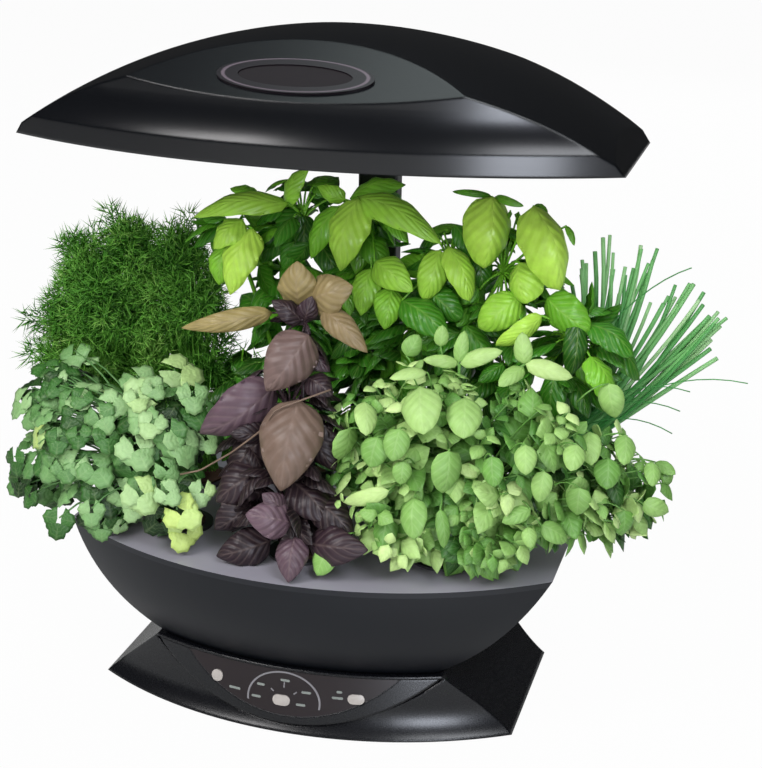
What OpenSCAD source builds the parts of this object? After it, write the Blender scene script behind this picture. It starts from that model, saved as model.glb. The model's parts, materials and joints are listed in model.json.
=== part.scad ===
// Countertop hydroponic garden: a flared base with a control panel, a boat-shaped
// water bowl with a planting deck, seven baskets with their plants, and an arched
// lamp hood on a telescopic mast. Millimetres, +Z up, origin on the table under the
// middle of the base, front towards -Y.

/* [Base] */
// Length of the base where it meets the table
base_len = 312; // [296:2:330]
// Depth of the base at its middle
base_depth = 220; // [214:2:230]
// Depth of the base at its cut ends
base_end = 128; // [118:2:136]
// Height of the base shell's top edge
base_top = 48; // [47:0.5:49]
// How far the front wall flares out at its foot
base_flare = 9; // [7:0.5:11]
// Height of that flare
base_flare_h = 24; // [20:1:28]
// Lean of the end walls, in millimetres inward per millimetre of height
base_end_lean = 1.05; // [0.95:0.05:1.1]
// Wall of the base shell
base_wall = 2.8; // [2.2:0.2:3.4]
// Gap between the table and the base shell's lower edge
foot_gap = 1.5; // [1:0.25:2]
// Thickness of the bottom plate
plate_t = 2.5; // [2:0.25:3]
// Height of the rubber foot ring
foot_h = 2.6; // [2.2:0.1:3]

/* [Bowl] */
// Length of the bowl at its rim
bowl_len = 358; // [350:2:366]
// Depth of the bowl at its middle
bowl_depth = 251; // [245:1:257]
// Depth of the bowl at its cut ends
bowl_end = 128; // [120:2:136]
// Height of the bowl's rim above the table
bowl_rim = 121; // [119:0.5:123]
// Height of the bowl's flat underside above the table
bowl_floor = 40; // [39.5:0.25:40.5]
// Radius of the long end curve in the side view
bowl_end_r = 207; // [203:1:211]
// Radius of the front curve in the section
bowl_front_r = 115; // [110:1:120]
// Wall of the bowl
bowl_wall = 2.6; // [2:0.2:3.2]
// Gap round the bowl where it stands in the base
bowl_gap = 0.4; // [0.3:0.1:0.6]

/* [Deck and baskets] */
// Thickness of the planting deck
deck_t = 4; // [3:0.5:5]
// Diameter of a basket hole in the deck
hole_d = 38; // [36:0.5:40]
// Running gap between a basket and its hole
hole_gap = 0.4; // [0.3:0.1:0.6]
// Diameter of a basket's top flange
flange_d = 45; // [43:1:47]
// Thickness of that flange
flange_t = 2; // [1.5:0.25:2.5]
// Height of a basket under its flange
basket_h = 52; // [46:1:56]
// Diameter of a basket at its foot
basket_foot_d = 28; // [26:1:30]
// Wall of a basket
basket_wall = 1.4; // [1.2:0.1:1.8]
// Length of the fill door
door_len = 27; // [24:1:30]
// Width of the fill door
door_wid = 20; // [18:1:22]
// Thickness of the fill door
door_t = 2; // [1.6:0.2:2.4]

/* [Mast] */
// Width of the sliding mast
mast_w = 31; // [29:1:32]
// Depth of the sliding mast
mast_d = 16; // [14:1:17]
// Wall of the sliding mast
mast_wall = 2.2; // [1.8:0.2:2.8]
// Distance from the middle of the base back to the mast's axis
mast_y = 121; // [120:0.5:123]
// Height of the fixed column's top above the table
column_top = 245; // [230:1:248]
// Wall of the fixed column
column_wall = 3.2; // [2.8:0.2:3.6]
// Running gap between mast and column
mast_gap = 0.35; // [0.3:0.05:0.5]
// How far the mast reaches into the column when it is fully up
mast_hold = 58; // [40:2:60]

/* [Hood] */
// Height of the hood's rim above the table with the mast fully up
hood_rim = 407; // [404:1:420]
// Length of the hood
hood_len = 420; // [410:2:430]
// Depth of the hood at its middle
hood_depth = 224; // [220:1:228]
// Depth of the hood at its cut ends
hood_end = 123; // [116:1:130]
// Height of the upright lip round the rim
lip_h = 14; // [12:0.5:16]
// Rise of the arch above the rim
hood_rise = 75; // [72:1:80]
// Rise of the arch above the rim at its two ends
arch_end_rise = 17; // [16:0.5:19]
// How far the end facets lean in
end_lean = 13; // [10:1:15]
// Radius of the top's crown from front to back
crown_r = 540; // [480:20:640]
// Width of the crowned band between the front and rear facets at the middle
crown_w = 90; // [84:2:100]
// Slope of the front and rear facets in degrees
facet_slope = 29; // [27:0.5:31]
// Step from the lip in to the upright wall above it
cove_step = 6; // [5:0.5:7]
// Height of the hollow curve between lip and wall
cove_h = 26; // [22:1:30]
// Wall of the hood
hood_wall = 2.6; // [2.2:0.2:3.2]
// Length of the oval badge ring
badge_len = 105; // [98:1:110]
// Width of the oval badge ring
badge_wid = 35; // [32:1:38]
// Length of the bare oval plate inside the ring
plate_len = 76; // [70:1:82]
// Width of that plate
plate_wid = 22; // [19:1:25]
// Distance of the badge's middle down the front facet
badge_down = 45; // [42:1:47]
// Diameter of a lamp tube
tube_d = 13; // [12:0.5:14]
// Length of a lamp's tubes
tube_len = 92; // [80:2:96]

/* [Controls] */
// Half the chord of the control panel's bezel
bezel_half = 107; // [100:1:110]
// Height of the bezel's lowest point above the table
bezel_low = 8; // [7:0.5:10]
// Half the chord of the dark panel face
face_half = 79; // [74:1:82]
// Height of the dark face's lowest point above the table
face_low = 14; // [13:0.5:16]
// Distance of the two outer buttons from the middle
button_x = 52; // [48:1:54]
// How far a button's cap stands out of the panel
cap_proud = 1.4; // [1:0.1:1.8]
// Travel of a panel button
button_travel = 0.8; // [0.6:0.1:1]
// Radius of the half ring round the middle button
trim_r = 27.5; // [25:0.5:28]
// Width of the mast's release rocker
rocker_w = 12; // [10:0.5:14]

/* [Hidden] */

eps = 0.01;
far = 900;

plastic_black = [0.10, 0.10, 0.11];
plastic_blue_black = [0.16, 0.17, 0.21];
plastic_grey = [0.42, 0.42, 0.44];
rubber_black = [0.05, 0.05, 0.05];
metal_bright = [0.75, 0.76, 0.78];
foam_brown = [0.30, 0.20, 0.12];

// Radius of an arc from its half chord and its rise.
function arc_r(half, rise) = (half * half + rise * rise) / (2 * rise);
// Radius of an arc that stands upright at its top and moves out by step over h.
function cove_r(step, h) = (h * h + step * step) / (2 * step);

base_r = arc_r(base_len / 2, (base_depth - base_end) / 2);
bowl_r = arc_r(bowl_len / 2, (bowl_depth - bowl_end) / 2);
hood_r = arc_r(hood_len / 2, (hood_depth - hood_end) / 2);

deck_top = bowl_rim + deck_t;
bowl_end_z = deck_top + sqrt(bowl_end_r * bowl_end_r - bowl_len * bowl_len / 4);
shell_low = foot_gap;
plate_top = shell_low + plate_t;
seat_t = 2.4;
seat_z = bowl_floor - seat_t;

// Plan of the column, the mast and the notch that the bowl leaves for them.
bore_w = mast_w + 2 * mast_gap;
bore_d = mast_d + 2 * mast_gap;
col_w = bore_w + 2 * column_wall;
col_d = bore_d + 2 * column_wall;
notch_w = col_w + 2 * bowl_gap + 1.6;
notch_y = mast_y - col_d / 2 - bowl_gap - 0.8;
pedestal_w = col_w + 8;
pedestal_d = col_d + 8;
column_low = plate_top + 3;
mast_low = column_top - mast_hold;
mast_top = hood_rim + 38;
mast_travel = 150;

// Baskets: front row, then rear row, from left to right.
front_x = 98;
front_y = -50;
middle_y = -72;
rear_x = 116;
rear_y = 35;
inner_x = 42;
inner_y = 64;
PODS = [
  [-front_x, front_y], [0, middle_y], [front_x, front_y],
  [-rear_x, rear_y], [-inner_x, inner_y], [inner_x, inner_y], [rear_x, rear_y]
];
flange_top = deck_top + flange_t;
sponge_top = flange_top + 1.5;
sponge_gap = 0.3;
soil_z = sponge_top + 0.3;

door_x = -92;
door_y = 84;
hinge_d = 2.4;
hinge_z = deck_top + 1.6;
hinge_y = door_y + door_wid / 2 + 2;

impeller_d = 22;
pump_d = 46;
pump_h = 26;
shaft_d = 3;

float_x = -58;
float_y = -4;
float_d = 18;
float_h = 14;
float_travel = 20;
float_top = bowl_rim - 28;

cove_rad = cove_r(cove_step, cove_h);
flare_rad = cove_r(base_flare, base_flare_h);
arch_top = hood_rim + hood_rise;
arch_half = hood_len / 2 - end_lean;
arch_r = arc_r(arch_half, hood_rise - arch_end_rise);
ridge_z = arch_top + crown_w / 2 * tan(facet_slope);
neck_w = mast_w + 16;
neck_d = mast_d + 14;
neck_top = hood_rim + 46;

// ---- shared forms ----

// Boat plan: two long arcs that meet short straight ends.
module boat_plan(len, depth, r, inset = 0) {
  off = r - depth / 2;
  intersection() {
    translate([0, off]) circle(r - inset, $fn = 240);
    translate([0, -off]) circle(r - inset, $fn = 240);
    square([len - 2 * inset, far], center = true);
  }
}

// Disc with an upright lip at its foot, a hollow curve above the lip and an upright wall above that.
module flared_disc(r, step, h, rad, low, high, lip = 0, inset = 0) {
  wall_low = low + lip + h;
  rotate_extrude($fn = 240) difference() {
    translate([0, low]) square([r - inset, high - low]);
    translate([r - step + rad, wall_low]) circle(rad + inset, $fn = 200);
    translate([r - step - inset, wall_low]) square([far, far]);
  }
}

// The two flared discs, front and rear, whose overlap is a boat form.
module flared_boat(depth, r, step, h, rad, low, high, lip = 0, inset = 0) {
  off = r - depth / 2;
  intersection() {
    translate([0, off, 0]) flared_disc(r, step, h, rad, low, high, lip, inset);
    translate([0, -off, 0]) flared_disc(r, step, h, rad, low, high, lip, inset);
  }
}

// A side view in X and Z, carried right through along Y.
module through_y() {
  rotate([90, 0, 0]) linear_extrude(far, center = true) children();
}

// A section in Y and Z, carried right through along X.
module through_x() {
  rotate([90, 0, 90]) linear_extrude(far, center = true) children();
}

// Disc whose rim is a round hull in section, upright at its top.
module hull_disc(inset, low, high) {
  rotate_extrude($fn = 240) intersection() {
    union() {
      translate([bowl_r - bowl_front_r, deck_top]) circle(bowl_front_r - inset, $fn = 240);
      square([bowl_r - bowl_front_r, deck_top]);
    }
    translate([0, low]) square([bowl_r, high - low]);
  }
}

// The bowl's outer form between two heights, drawn in all round by inset.
module bowl_form(low, high, inset = 0) {
  off = bowl_r - bowl_depth / 2;
  intersection() {
    translate([0, off, 0]) hull_disc(inset, low, high);
    translate([0, -off, 0]) hull_disc(inset, low, high);
    through_y() translate([0, bowl_end_z]) circle(bowl_end_r - inset, $fn = 240);
  }
}

module mast_notch(low, high, grow = 0) {
  translate([-notch_w / 2 - grow, notch_y - grow, low])
    cube([notch_w + 2 * grow, far, high - low]);
}

// The base's outer form, drawn in all round by inset.
module base_form(low, high, inset = 0) {
  lean_in = base_end_lean * (base_top - shell_low);
  end_inset = inset * sqrt(1 + base_end_lean * base_end_lean);
  intersection() {
    flared_boat(base_depth, base_r, base_flare, base_flare_h, flare_rad, shell_low, base_top, 0, inset);
    through_y() polygon([
      [-base_len / 2 + end_inset, shell_low], [base_len / 2 - end_inset, shell_low],
      [base_len / 2 - end_inset - lean_in, base_top], [-base_len / 2 + end_inset + lean_in, base_top]
    ]);
    translate([-far / 2, -far / 2, low]) cube([far, far, high - low]);
  }
}

module pedestal_plan(inset = 0) {
  w = pedestal_w - 2 * inset;
  d = pedestal_d - 2 * inset;
  translate([0, mast_y]) {
    square([w, d - 12], center = true);
    square([w - 12, d], center = true);
    for (sx = [-1, 1], sy = [-1, 1])
      translate([sx * (w / 2 - 6), sy * (d / 2 - 6)]) circle(6, $fn = 48);
  }
}

// ---- base ----

screw_spots = [for (sx = [-1, 1], sy = [-1, 1]) [sx * 98, sy * 58]];
screw_boss_d = 9;
screw_pilot_d = 3;
screw_head_d = 6.4;
screw_len = 10;

module bezel_window(half, low, grow = 0) {
  top = base_top - 2;
  r = arc_r(half, top - low);
  intersection() {
    translate([0, low + r]) circle(r + grow, $fn = 200);
    translate([-far / 2, 0]) square([far, top + 5]);
  }
}

bezel_t = 4;
bezel_foot_r = base_r - 1.5;
bezel_head_r = base_r - base_flare - 1;
bezel_groove = 1.2;
bezel_seat_gap = 0.2;
face_t = 0.8;
face_proud = 0.2;
panel_off = base_r - base_depth / 2;
panel_slope = (bezel_foot_r - bezel_head_r) / (base_top - bezel_low);
panel_tilt = atan(panel_slope);
function panel_r(z) = bezel_foot_r - panel_slope * (z - bezel_low + 2);
function panel_turn(x, z) = asin(x / panel_r(z));

// Puts a child on the panel's face at x and z: its own +Z points outward.
module on_panel(x, z, out = 0) {
  translate([0, panel_off, z]) rotate([0, 0, panel_turn(x, z)])
    translate([0, -panel_r(z), 0]) rotate([90 - panel_tilt, 0, 0]) translate([0, 0, out]) children();
}

// The panel's details sit a little left of the middle.
panel_shift = -1.5;
button_sizes = [[9, 8.4], [13, 7.6], [12, 7]];
button_spots = [[panel_shift - button_x, 32.2], [2 * panel_shift, 24.3], [panel_shift + button_x, 30.7]];
button_gap = 0.25;
cap_in = bezel_t + 0.2;
cap_round = 22;
stop_w = 1.2;
stop_t = 1.2;
stem_d_button = 3;
stem_len = 3.6;
button_in = cap_in + stop_t + stem_len;
pocket_gap = 0.6;
pocket_more = 2 * (stop_w + pocket_gap);

module oval(len, wid, h) {
  linear_extrude(h) {
    square([len - wid, wid], center = true);
    for (s = [-1, 1]) translate([s * (len - wid) / 2, 0]) circle(d = wid, $fn = 48);
  }
}

// Guide of each button's cap through the bezel and the dark face.
module button_guides() {
  for (i = [0:2]) on_panel(button_spots[i][0], button_spots[i][1], -2 * bezel_t)
    oval(button_sizes[i][0] + 2 * button_gap, button_sizes[i][1] + 2 * button_gap, 3 * bezel_t);
}

// Cone that carries the control panel, front only.
module bezel_cone(out = 0) {
  off = base_r - base_depth / 2;
  translate([0, off, bezel_low - 2])
    cylinder(h = base_top - bezel_low, r1 = bezel_foot_r + out, r2 = bezel_head_r + out, $fn = 240);
}

module front_half() {
  translate([-far / 2, -far, 0]) cube([far, far, far]);
}

// Layer of the panel's cone between two distances from its face, cut to a window.
module panel_layer(back, front, half, low, grow = 0) {
  intersection() {
    difference() {
      bezel_cone(front);
      bezel_cone(back);
    }
    through_y() bezel_window(half, low, grow);
    front_half();
  }
}

module base_shell() {
  color(plastic_black) difference() {
    union() {
      difference() {
        base_form(shell_low, base_top);
        base_form(shell_low - 1, seat_z, base_wall);
      }
      // pedestal that carries the mast behind the bowl
      difference() {
        translate([0, 0, shell_low]) linear_extrude(base_top - shell_low) pedestal_plan();
        base_form(shell_low - 1, seat_z, base_wall);
      }
      for (p = screw_spots) translate([p[0], p[1], plate_top])
        cylinder(d = screw_boss_d, h = seat_z - plate_top + eps, $fn = 40);
    }
    // seat of the bowl
    bowl_form(bowl_floor, base_top + 1, -bowl_gap);
    // socket of the mast column
    translate([-col_w / 2, mast_y - col_d / 2, column_low])
      cube([col_w, col_d, base_top]);
    translate([0, 0, shell_low - 1]) linear_extrude(column_low - shell_low + 1 + eps)
      pedestal_plan(base_wall + 5);
    // seat of the control panel with its groove, and the opening behind it
    panel_layer(-bezel_t - bezel_seat_gap, 8, bezel_half, bezel_low, bezel_groove);
    intersection() {
      panel_layer(-26, 8, face_half - 6, face_low + 3);
      translate([-far / 2, -far / 2, 0]) cube([far, far, seat_z]);
    }
    // room behind each button
    for (i = [0:2]) on_panel(button_spots[i][0], button_spots[i][1], -button_in - 6)
      oval(button_sizes[i][0] + pocket_more, button_sizes[i][1] + pocket_more, button_in + 6);
    // hole for the cord grommet
    on_rear_wall(-20) cylinder(d = cord_hole_d, h = 40, $fn = 48);
    for (p = screw_spots) translate([p[0], p[1], plate_top - 1])
      cylinder(d = screw_pilot_d, h = screw_len, $fn = 24);
  }
}

module base_bottom_plate() {
  color(plastic_black) difference() {
    union() {
      intersection() {
        base_form(shell_low, plate_top, base_wall + 0.3);
        translate([0, 0, shell_low]) linear_extrude(plate_t) square([far, far], center = true);
      }
      // stands of the circuit board and the power supply
      for (x = [-58, 58]) translate([x, board_y + 6, plate_top - eps])
        cylinder(d = 7, h = board_z - plate_top + eps, $fn = 32);
    }
    linear_extrude(foot_h) ring_plan(0.1);
    for (p = screw_spots) translate([p[0], p[1], 0]) {
      cylinder(d = screw_pilot_d + 0.6, h = plate_top + 1, $fn = 24);
      cylinder(d = screw_head_d + 0.6, h = shell_low + screw_sink, $fn = 32);
    }
    // air slots
    for (i = [0:5]) translate([40 + i * 7, 30, 0]) cube([3, 34, far], center = true);
  }
}

ring_inset = 9;
ring_w = 6;
screw_sink = 1.2;
screw_head_h = 1.1;

module ring_plan(grow = 0) {
  difference() {
    boat_plan(base_len, base_depth, base_r, ring_inset - grow);
    boat_plan(base_len, base_depth, base_r, ring_inset + ring_w + grow);
  }
}

module foot_ring() {
  color(rubber_black) linear_extrude(foot_h) ring_plan();
}

module base_screws() {
  color(metal_bright) for (p = screw_spots) translate([p[0], p[1], shell_low + screw_sink]) {
    translate([0, 0, -screw_head_h]) cylinder(d = screw_head_d, h = screw_head_h, $fn = 32);
    translate([0, 0, -eps]) cylinder(d = screw_pilot_d - 0.1, h = screw_len - 3, $fn = 24);
  }
}

cord_x = 36;
cord_z = 29.5;
cord_bore_d = 6.4;
cord_hole_d = 11;
cord_flange_d = 15;
cord_flange_t = 2.4;
cord_gap = 0.25;
rear_wall_r = base_r - base_flare;

// Puts a child on the rear wall's outer face at the cord: its own +Z points outward.
module on_rear_wall(out = 0) {
  translate([0, -panel_off, cord_z]) rotate([0, 0, -asin(cord_x / rear_wall_r)])
    translate([0, rear_wall_r + out, 0]) rotate([-90, 0, 0]) children();
}

module cord_grommet() {
  inner = -base_wall - cord_gap;
  color(rubber_black) on_rear_wall() difference() {
    union() {
      translate([0, 0, inner - cord_flange_t]) cylinder(d = cord_flange_d, h = cord_flange_t, $fn = 48);
      translate([0, 0, inner - eps]) cylinder(d = cord_hole_d, h = cord_gap - inner + 2 * eps, $fn = 48);
      translate([0, 0, cord_gap]) cylinder(d = cord_flange_d, h = cord_flange_t, $fn = 48);
    }
    translate([0, 0, -20]) cylinder(d = cord_bore_d, h = 40, $fn = 48);
  }
}

supply_size = [66, 34, 22];
supply_pos = [-92, 8];

module power_supply() {
  color(metal_bright) translate([supply_pos[0], supply_pos[1], plate_top]) {
    translate([0, 0, supply_size[2] / 2]) cube(supply_size, center = true);
    translate([0, 0, 11]) cube([40, 46, 20], center = true);
  }
}

module pump_stator() {
  color(plastic_grey) translate([0, 0, plate_top]) {
    difference() {
      cylinder(d = 44, h = seat_z - plate_top, $fn = 80);
      translate([0, 0, 10]) rotate_extrude($fn = 80) translate([19, 0]) square([5, 12]);
    }
  }
}

// The switch card stands behind the panel, parallel to it; the main board lies behind the card.
card_size = [124, 1.6, 18];
card_z = 27;
card_back = 20.2;
card_y = panel_off - panel_r(card_z) + card_back / cos(panel_tilt);
board_size = [132, 37, 1.6];
board_z = 18;
board_y = card_y - (card_z - board_z) * panel_slope + board_size[1] / 2;

module on_card() {
  translate([0, card_y, card_z]) rotate([-panel_tilt, 0, 0]) children();
}

module control_board() {
  color([0.05, 0.25, 0.12]) {
    translate([0, board_y, board_z + board_size[2] / 2]) cube(board_size, center = true);
    on_card() cube(card_size, center = true);
    // connector strip on the main board
    translate([0, board_y - 8, board_z + 3]) cube([80, 5, 4], center = true);
  }
}

module panel_button(i) {
  size = button_sizes[i];
  on_panel(button_spots[i][0], button_spots[i][1]) {
    intersection() {
      translate([0, 0, -cap_in]) oval(size[0], size[1], cap_in + cap_proud);
      translate([0, 0, cap_proud - cap_round]) sphere(cap_round, $fn = 160);
    }
    translate([0, 0, -cap_in - stop_t]) oval(size[0] + 2 * stop_w, size[1] + 2 * stop_w, stop_t + eps);
    translate([0, 0, -button_in]) cylinder(d = stem_d_button, h = stem_len + eps, $fn = 32);
  }
}

dome_d = 4;
dome_h = 1;
dome_gap = 0.05;
switch_w = 7;
switch_deep = 14;

// Each switch reaches from the card's front to just behind its button's stem.
module dome_switches() {
  top = -button_in - button_travel - dome_gap;
  color(metal_bright) for (s = button_spots) {
    difference() {
      on_panel(s[0], s[1], top - dome_h - switch_deep) linear_extrude(switch_deep)
        square([switch_w, switch_w], center = true);
      on_card() translate([-far / 2, -card_size[1] / 2, -far / 2]) cube([far, far, far]);
    }
    on_panel(s[0], s[1], top - dome_h - eps) cylinder(d = dome_d, h = dome_h + eps, $fn = 32);
  }
}

module panel_bezel() {
  color(plastic_black) difference() {
    panel_layer(-bezel_t, 0, bezel_half, bezel_low);
    panel_layer(-face_t, 1, face_half, face_low, 0.1);
    button_guides();
  }
}

// The dark face lies in a shallow recess of the bezel.
module panel_face() {
  color([0.16, 0.12, 0.12]) difference() {
    panel_layer(-face_t, face_proud, face_half, face_low);
    button_guides();
    trim_solid(0.05);
    light_solids(0.05);
  }
}

trim_wid = 1.4;
trim_deep = 0.5;
trim_proud = 0.3;
trim_z = 24;
trim_flat = 0.76;
trim_drop = 3;
spoke_wid = 0.9;
spoke_low = 9.5;
spoke_high = 13.4;

// Half ring round the middle button, with short spokes inside it.
module trim_solid(grow = 0) {
  intersection() {
    difference() {
      bezel_cone(face_proud + trim_proud);
      bezel_cone(face_proud - trim_deep - grow);
    }
    through_y() translate([panel_shift, trim_z]) {
      difference() {
        scale([1, trim_flat]) circle(trim_r + grow, $fn = 120);
        scale([1, trim_flat]) circle(trim_r - trim_wid - grow, $fn = 120);
        translate([-far / 2, -far - trim_drop]) square([far, far]);
      }
      for (a = [-52, 0, 52]) rotate(a) translate([-spoke_wid / 2 - grow, spoke_low - grow])
        square([spoke_wid + 2 * grow, (spoke_high - spoke_low) * cos(a * 0.9) + 2 * grow]);
    }
    front_half();
  }
}

module panel_arc_trim() {
  color(metal_bright) trim_solid();
}

// Lit bars on the panel: place on the panel, then length.
light_wid = 1.7;
light_deep = 0.6;
light_proud = 0.4;
LIGHTS = [
  [-19, 33, 6], [-1, 38.6, 7], [15, 32, 7], [11.5, 22.8, 7], [-22, 24, 7],
  [38.5, 34.9, 4], [37.5, 30.6, 8], [-39, 26.5, 9]
];

module light_solids(grow = 0) {
  for (p = LIGHTS) on_panel(p[0], p[1], -light_deep)
    oval(p[2] + 2 * grow, light_wid + 2 * grow, light_deep + light_proud + grow);
}

module indicator_lights() {
  color([0.75, 0.8, 0.75]) light_solids();
}

module button_light() { color([0.8, 0.78, 0.75]) panel_button(0); }
module button_select() { color([0.8, 0.78, 0.75]) panel_button(1); }
module button_reset() { color([0.8, 0.78, 0.75]) panel_button(2); }

// ---- bowl and pump ----

module water_bowl() {
  color(plastic_blue_black) difference() {
    bowl_form(bowl_floor, bowl_rim);
    difference() {
      bowl_form(bowl_floor + bowl_wall, bowl_rim + 1, bowl_wall);
      mast_notch(bowl_floor, bowl_rim + 2, bowl_wall);
    }
    mast_notch(bowl_floor - 1, bowl_rim + 1);
  }
}

riser_y = 26;
riser_d = 9;
riser_bore = 6;
riser_boss_d = riser_d + 5;
riser_seat = 4;
boss_over = 6;
outlet_z = 8;
chamber_low = 3;
eye_d = 12;
running_gap = 0.05;

module pump_housing() {
  color(plastic_grey) translate([0, 0, bowl_floor + bowl_wall]) difference() {
    union() {
      cylinder(d = pump_d, h = pump_h, $fn = 80);
      translate([0, riser_y, 0]) cylinder(d = riser_boss_d, h = pump_h + boss_over, $fn = 48);
      translate([-riser_boss_d / 2, riser_y / 2, 0]) cube([riser_boss_d, riser_y / 2, pump_h]);
    }
    // chamber, eye, outlet and the seat of the riser pipe
    translate([0, 0, chamber_low]) cylinder(d = impeller_d + 4, h = pump_h - 7, $fn = 64);
    translate([0, 0, pump_h - 5]) cylinder(d = eye_d, h = 6, $fn = 48);
    translate([0, riser_y, pump_h - riser_seat]) cylinder(d = riser_d, h = 20, $fn = 48);
    translate([0, riser_y, outlet_z]) cylinder(d = riser_bore, h = pump_h, $fn = 48);
    translate([-riser_bore / 2, 8, outlet_z]) cube([riser_bore, riser_y - 8, riser_bore]);
    translate([0, 0, -1]) cylinder(d = shaft_d + 2 * running_gap, h = 5, $fn = 32);
  }
}

shaft_low = 0.3;
rotor_low = chamber_low + 0.3;
rotor_h = 9;
disc_t = 1.2;
blade_h = 4;
blade_in = 5.5;

module pump_impeller() {
  disc_z = rotor_low + rotor_h - eps;
  color([0.85, 0.85, 0.86]) translate([0, 0, bowl_floor + bowl_wall]) {
    translate([0, 0, shaft_low]) cylinder(d = shaft_d, h = rotor_low - shaft_low + eps, $fn = 32);
    translate([0, 0, rotor_low]) cylinder(d = eye_d, h = rotor_h, $fn = 48);
    translate([0, 0, disc_z]) cylinder(d = impeller_d, h = disc_t, $fn = 64);
    for (i = [0:5]) rotate([0, 0, i * 60]) translate([blade_in, -0.6, disc_z + disc_t - eps])
      cube([impeller_d / 2 - blade_in - 1, 1.2, blade_h]);
  }
}

strainer_d = 22;
strainer_h = 9;

module intake_strainer() {
  color(plastic_black) translate([0, 0, bowl_floor + bowl_wall + pump_h]) difference() {
    cylinder(d = strainer_d, h = strainer_h, $fn = 64);
    translate([0, 0, -1]) cylinder(d = strainer_d - 4, h = strainer_h - 1, $fn = 64);
    for (i = [0:5]) rotate([0, 0, i * 30]) translate([0, 0, 4]) cube([far, 2.4, 4], center = true);
  }
}

module riser_pipe() {
  low = bowl_floor + bowl_wall + pump_h - riser_seat;
  color(plastic_grey) translate([0, riser_y, low]) difference() {
    cylinder(d = riser_d, h = bowl_rim - low, $fn = 48);
    translate([0, 0, -1]) cylinder(d = riser_bore, h = bowl_rim - low - 2, $fn = 48);
    // spray hole under the deck
    translate([0, 0, bowl_rim - low - 8]) rotate([90, 0, 0])
      cylinder(d = 3, h = far, center = true, $fn = 24);
  }
}

stop_h = 2;
stop_d = 10;
float_stem_d = 5;
float_rest = float_top - float_h - float_travel;

module float_stem() {
  low = float_rest - running_gap - stop_h;
  color(plastic_grey) translate([float_x, float_y, 0]) {
    translate([0, 0, low]) cylinder(d = float_stem_d, h = bowl_rim - low, $fn = 40);
    translate([0, 0, low]) cylinder(d = stop_d, h = stop_h, $fn = 40);
    translate([0, 0, float_top + running_gap]) cylinder(d = stop_d, h = stop_h, $fn = 40);
    translate([0, 0, bowl_rim - stop_h]) cylinder(d = stop_d + 4, h = stop_h, $fn = 40);
  }
}

module level_float() {
  color([0.9, 0.9, 0.88]) translate([float_x, float_y, float_rest]) difference() {
    cylinder(d = float_d, h = float_h, $fn = 64);
    translate([0, 0, -1]) cylinder(d = float_stem_d + 2 * running_gap, h = float_h + 2, $fn = 40);
  }
}

// ---- deck, door and baskets ----

skirt_h = 6;
skirt_t = 2;
skirt_gap = 0.3;
door_gap = 0.5;
door_ledge = 2;
ear_w = 3;
ear_gap = 0.5;
barrel_d = 5;
barrel_len = door_len + 1.2;

module planting_deck() {
  skirt_in = bowl_wall + skirt_gap;
  recess_len = barrel_len + 2 * door_gap;
  color(plastic_grey) {
    difference() {
      union() {
        bowl_form(bowl_rim, deck_top);
        // skirt that drops inside the bowl's wall
        difference() {
          bowl_form(bowl_rim - skirt_h, bowl_rim + eps, skirt_in);
          bowl_form(bowl_rim - skirt_h - 1, bowl_rim, skirt_in + skirt_t);
          mast_notch(bowl_rim - skirt_h - 1, bowl_rim, skirt_in);
        }
      }
      mast_notch(bowl_rim - 1, deck_top + 1);
      for (p = PODS) translate([p[0], p[1], 0]) cylinder(d = hole_d, h = far, $fn = 72);
      // fill hole and the door's recess round it
      translate([door_x - door_len / 2 + door_ledge, door_y - door_wid / 2 + door_ledge, 0])
        cube([door_len - 2 * door_ledge, door_wid - 2 * door_ledge, far]);
      translate([door_x - recess_len / 2, door_y - door_wid / 2 - door_gap, deck_top - door_t])
        cube([recess_len, hinge_y - door_y + door_wid / 2 + door_gap + barrel_d / 2, far]);
    }
    // hinge ears
    for (s = [-1, 1]) translate([door_x + s * (barrel_len / 2 + ear_gap + ear_w / 2), hinge_y, 0])
      difference() {
        union() {
          translate([0, 0, hinge_z]) rotate([0, 90, 0])
            cylinder(d = barrel_d, h = ear_w, center = true, $fn = 40);
          translate([-ear_w / 2, -barrel_d / 2, deck_top - 0.5])
            cube([ear_w, barrel_d, hinge_z - deck_top + 0.5]);
        }
        translate([0, 0, hinge_z]) rotate([0, 90, 0]) cylinder(d = hinge_d, h = 10, center = true, $fn = 40);
      }
  }
}

module fill_door() {
  color(plastic_grey) difference() {
    union() {
      translate([door_x - door_len / 2, door_y - door_wid / 2, deck_top - door_t])
        cube([door_len, hinge_y - door_y + door_wid / 2, door_t]);
      translate([door_x, hinge_y, hinge_z]) rotate([0, 90, 0])
        cylinder(d = barrel_d, h = barrel_len, center = true, $fn = 40);
      // finger tab
      translate([door_x - 5, door_y - door_wid / 2 + 2, deck_top - eps]) cube([10, 2, 1.6]);
    }
    translate([door_x, hinge_y, hinge_z]) rotate([0, 90, 0])
      cylinder(d = hinge_d + 2 * running_gap, h = far, center = true, $fn = 40);
  }
}

module door_hinge_pin() {
  color(metal_bright) translate([door_x, hinge_y, hinge_z]) rotate([0, 90, 0])
    cylinder(d = hinge_d, h = barrel_len + 2 * (ear_gap + ear_w), center = true, $fn = 40);
}

basket_top_d = hole_d - 2 * hole_gap;

slot_w = 4;
slot_h = 22;
slot_up = 17;

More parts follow.
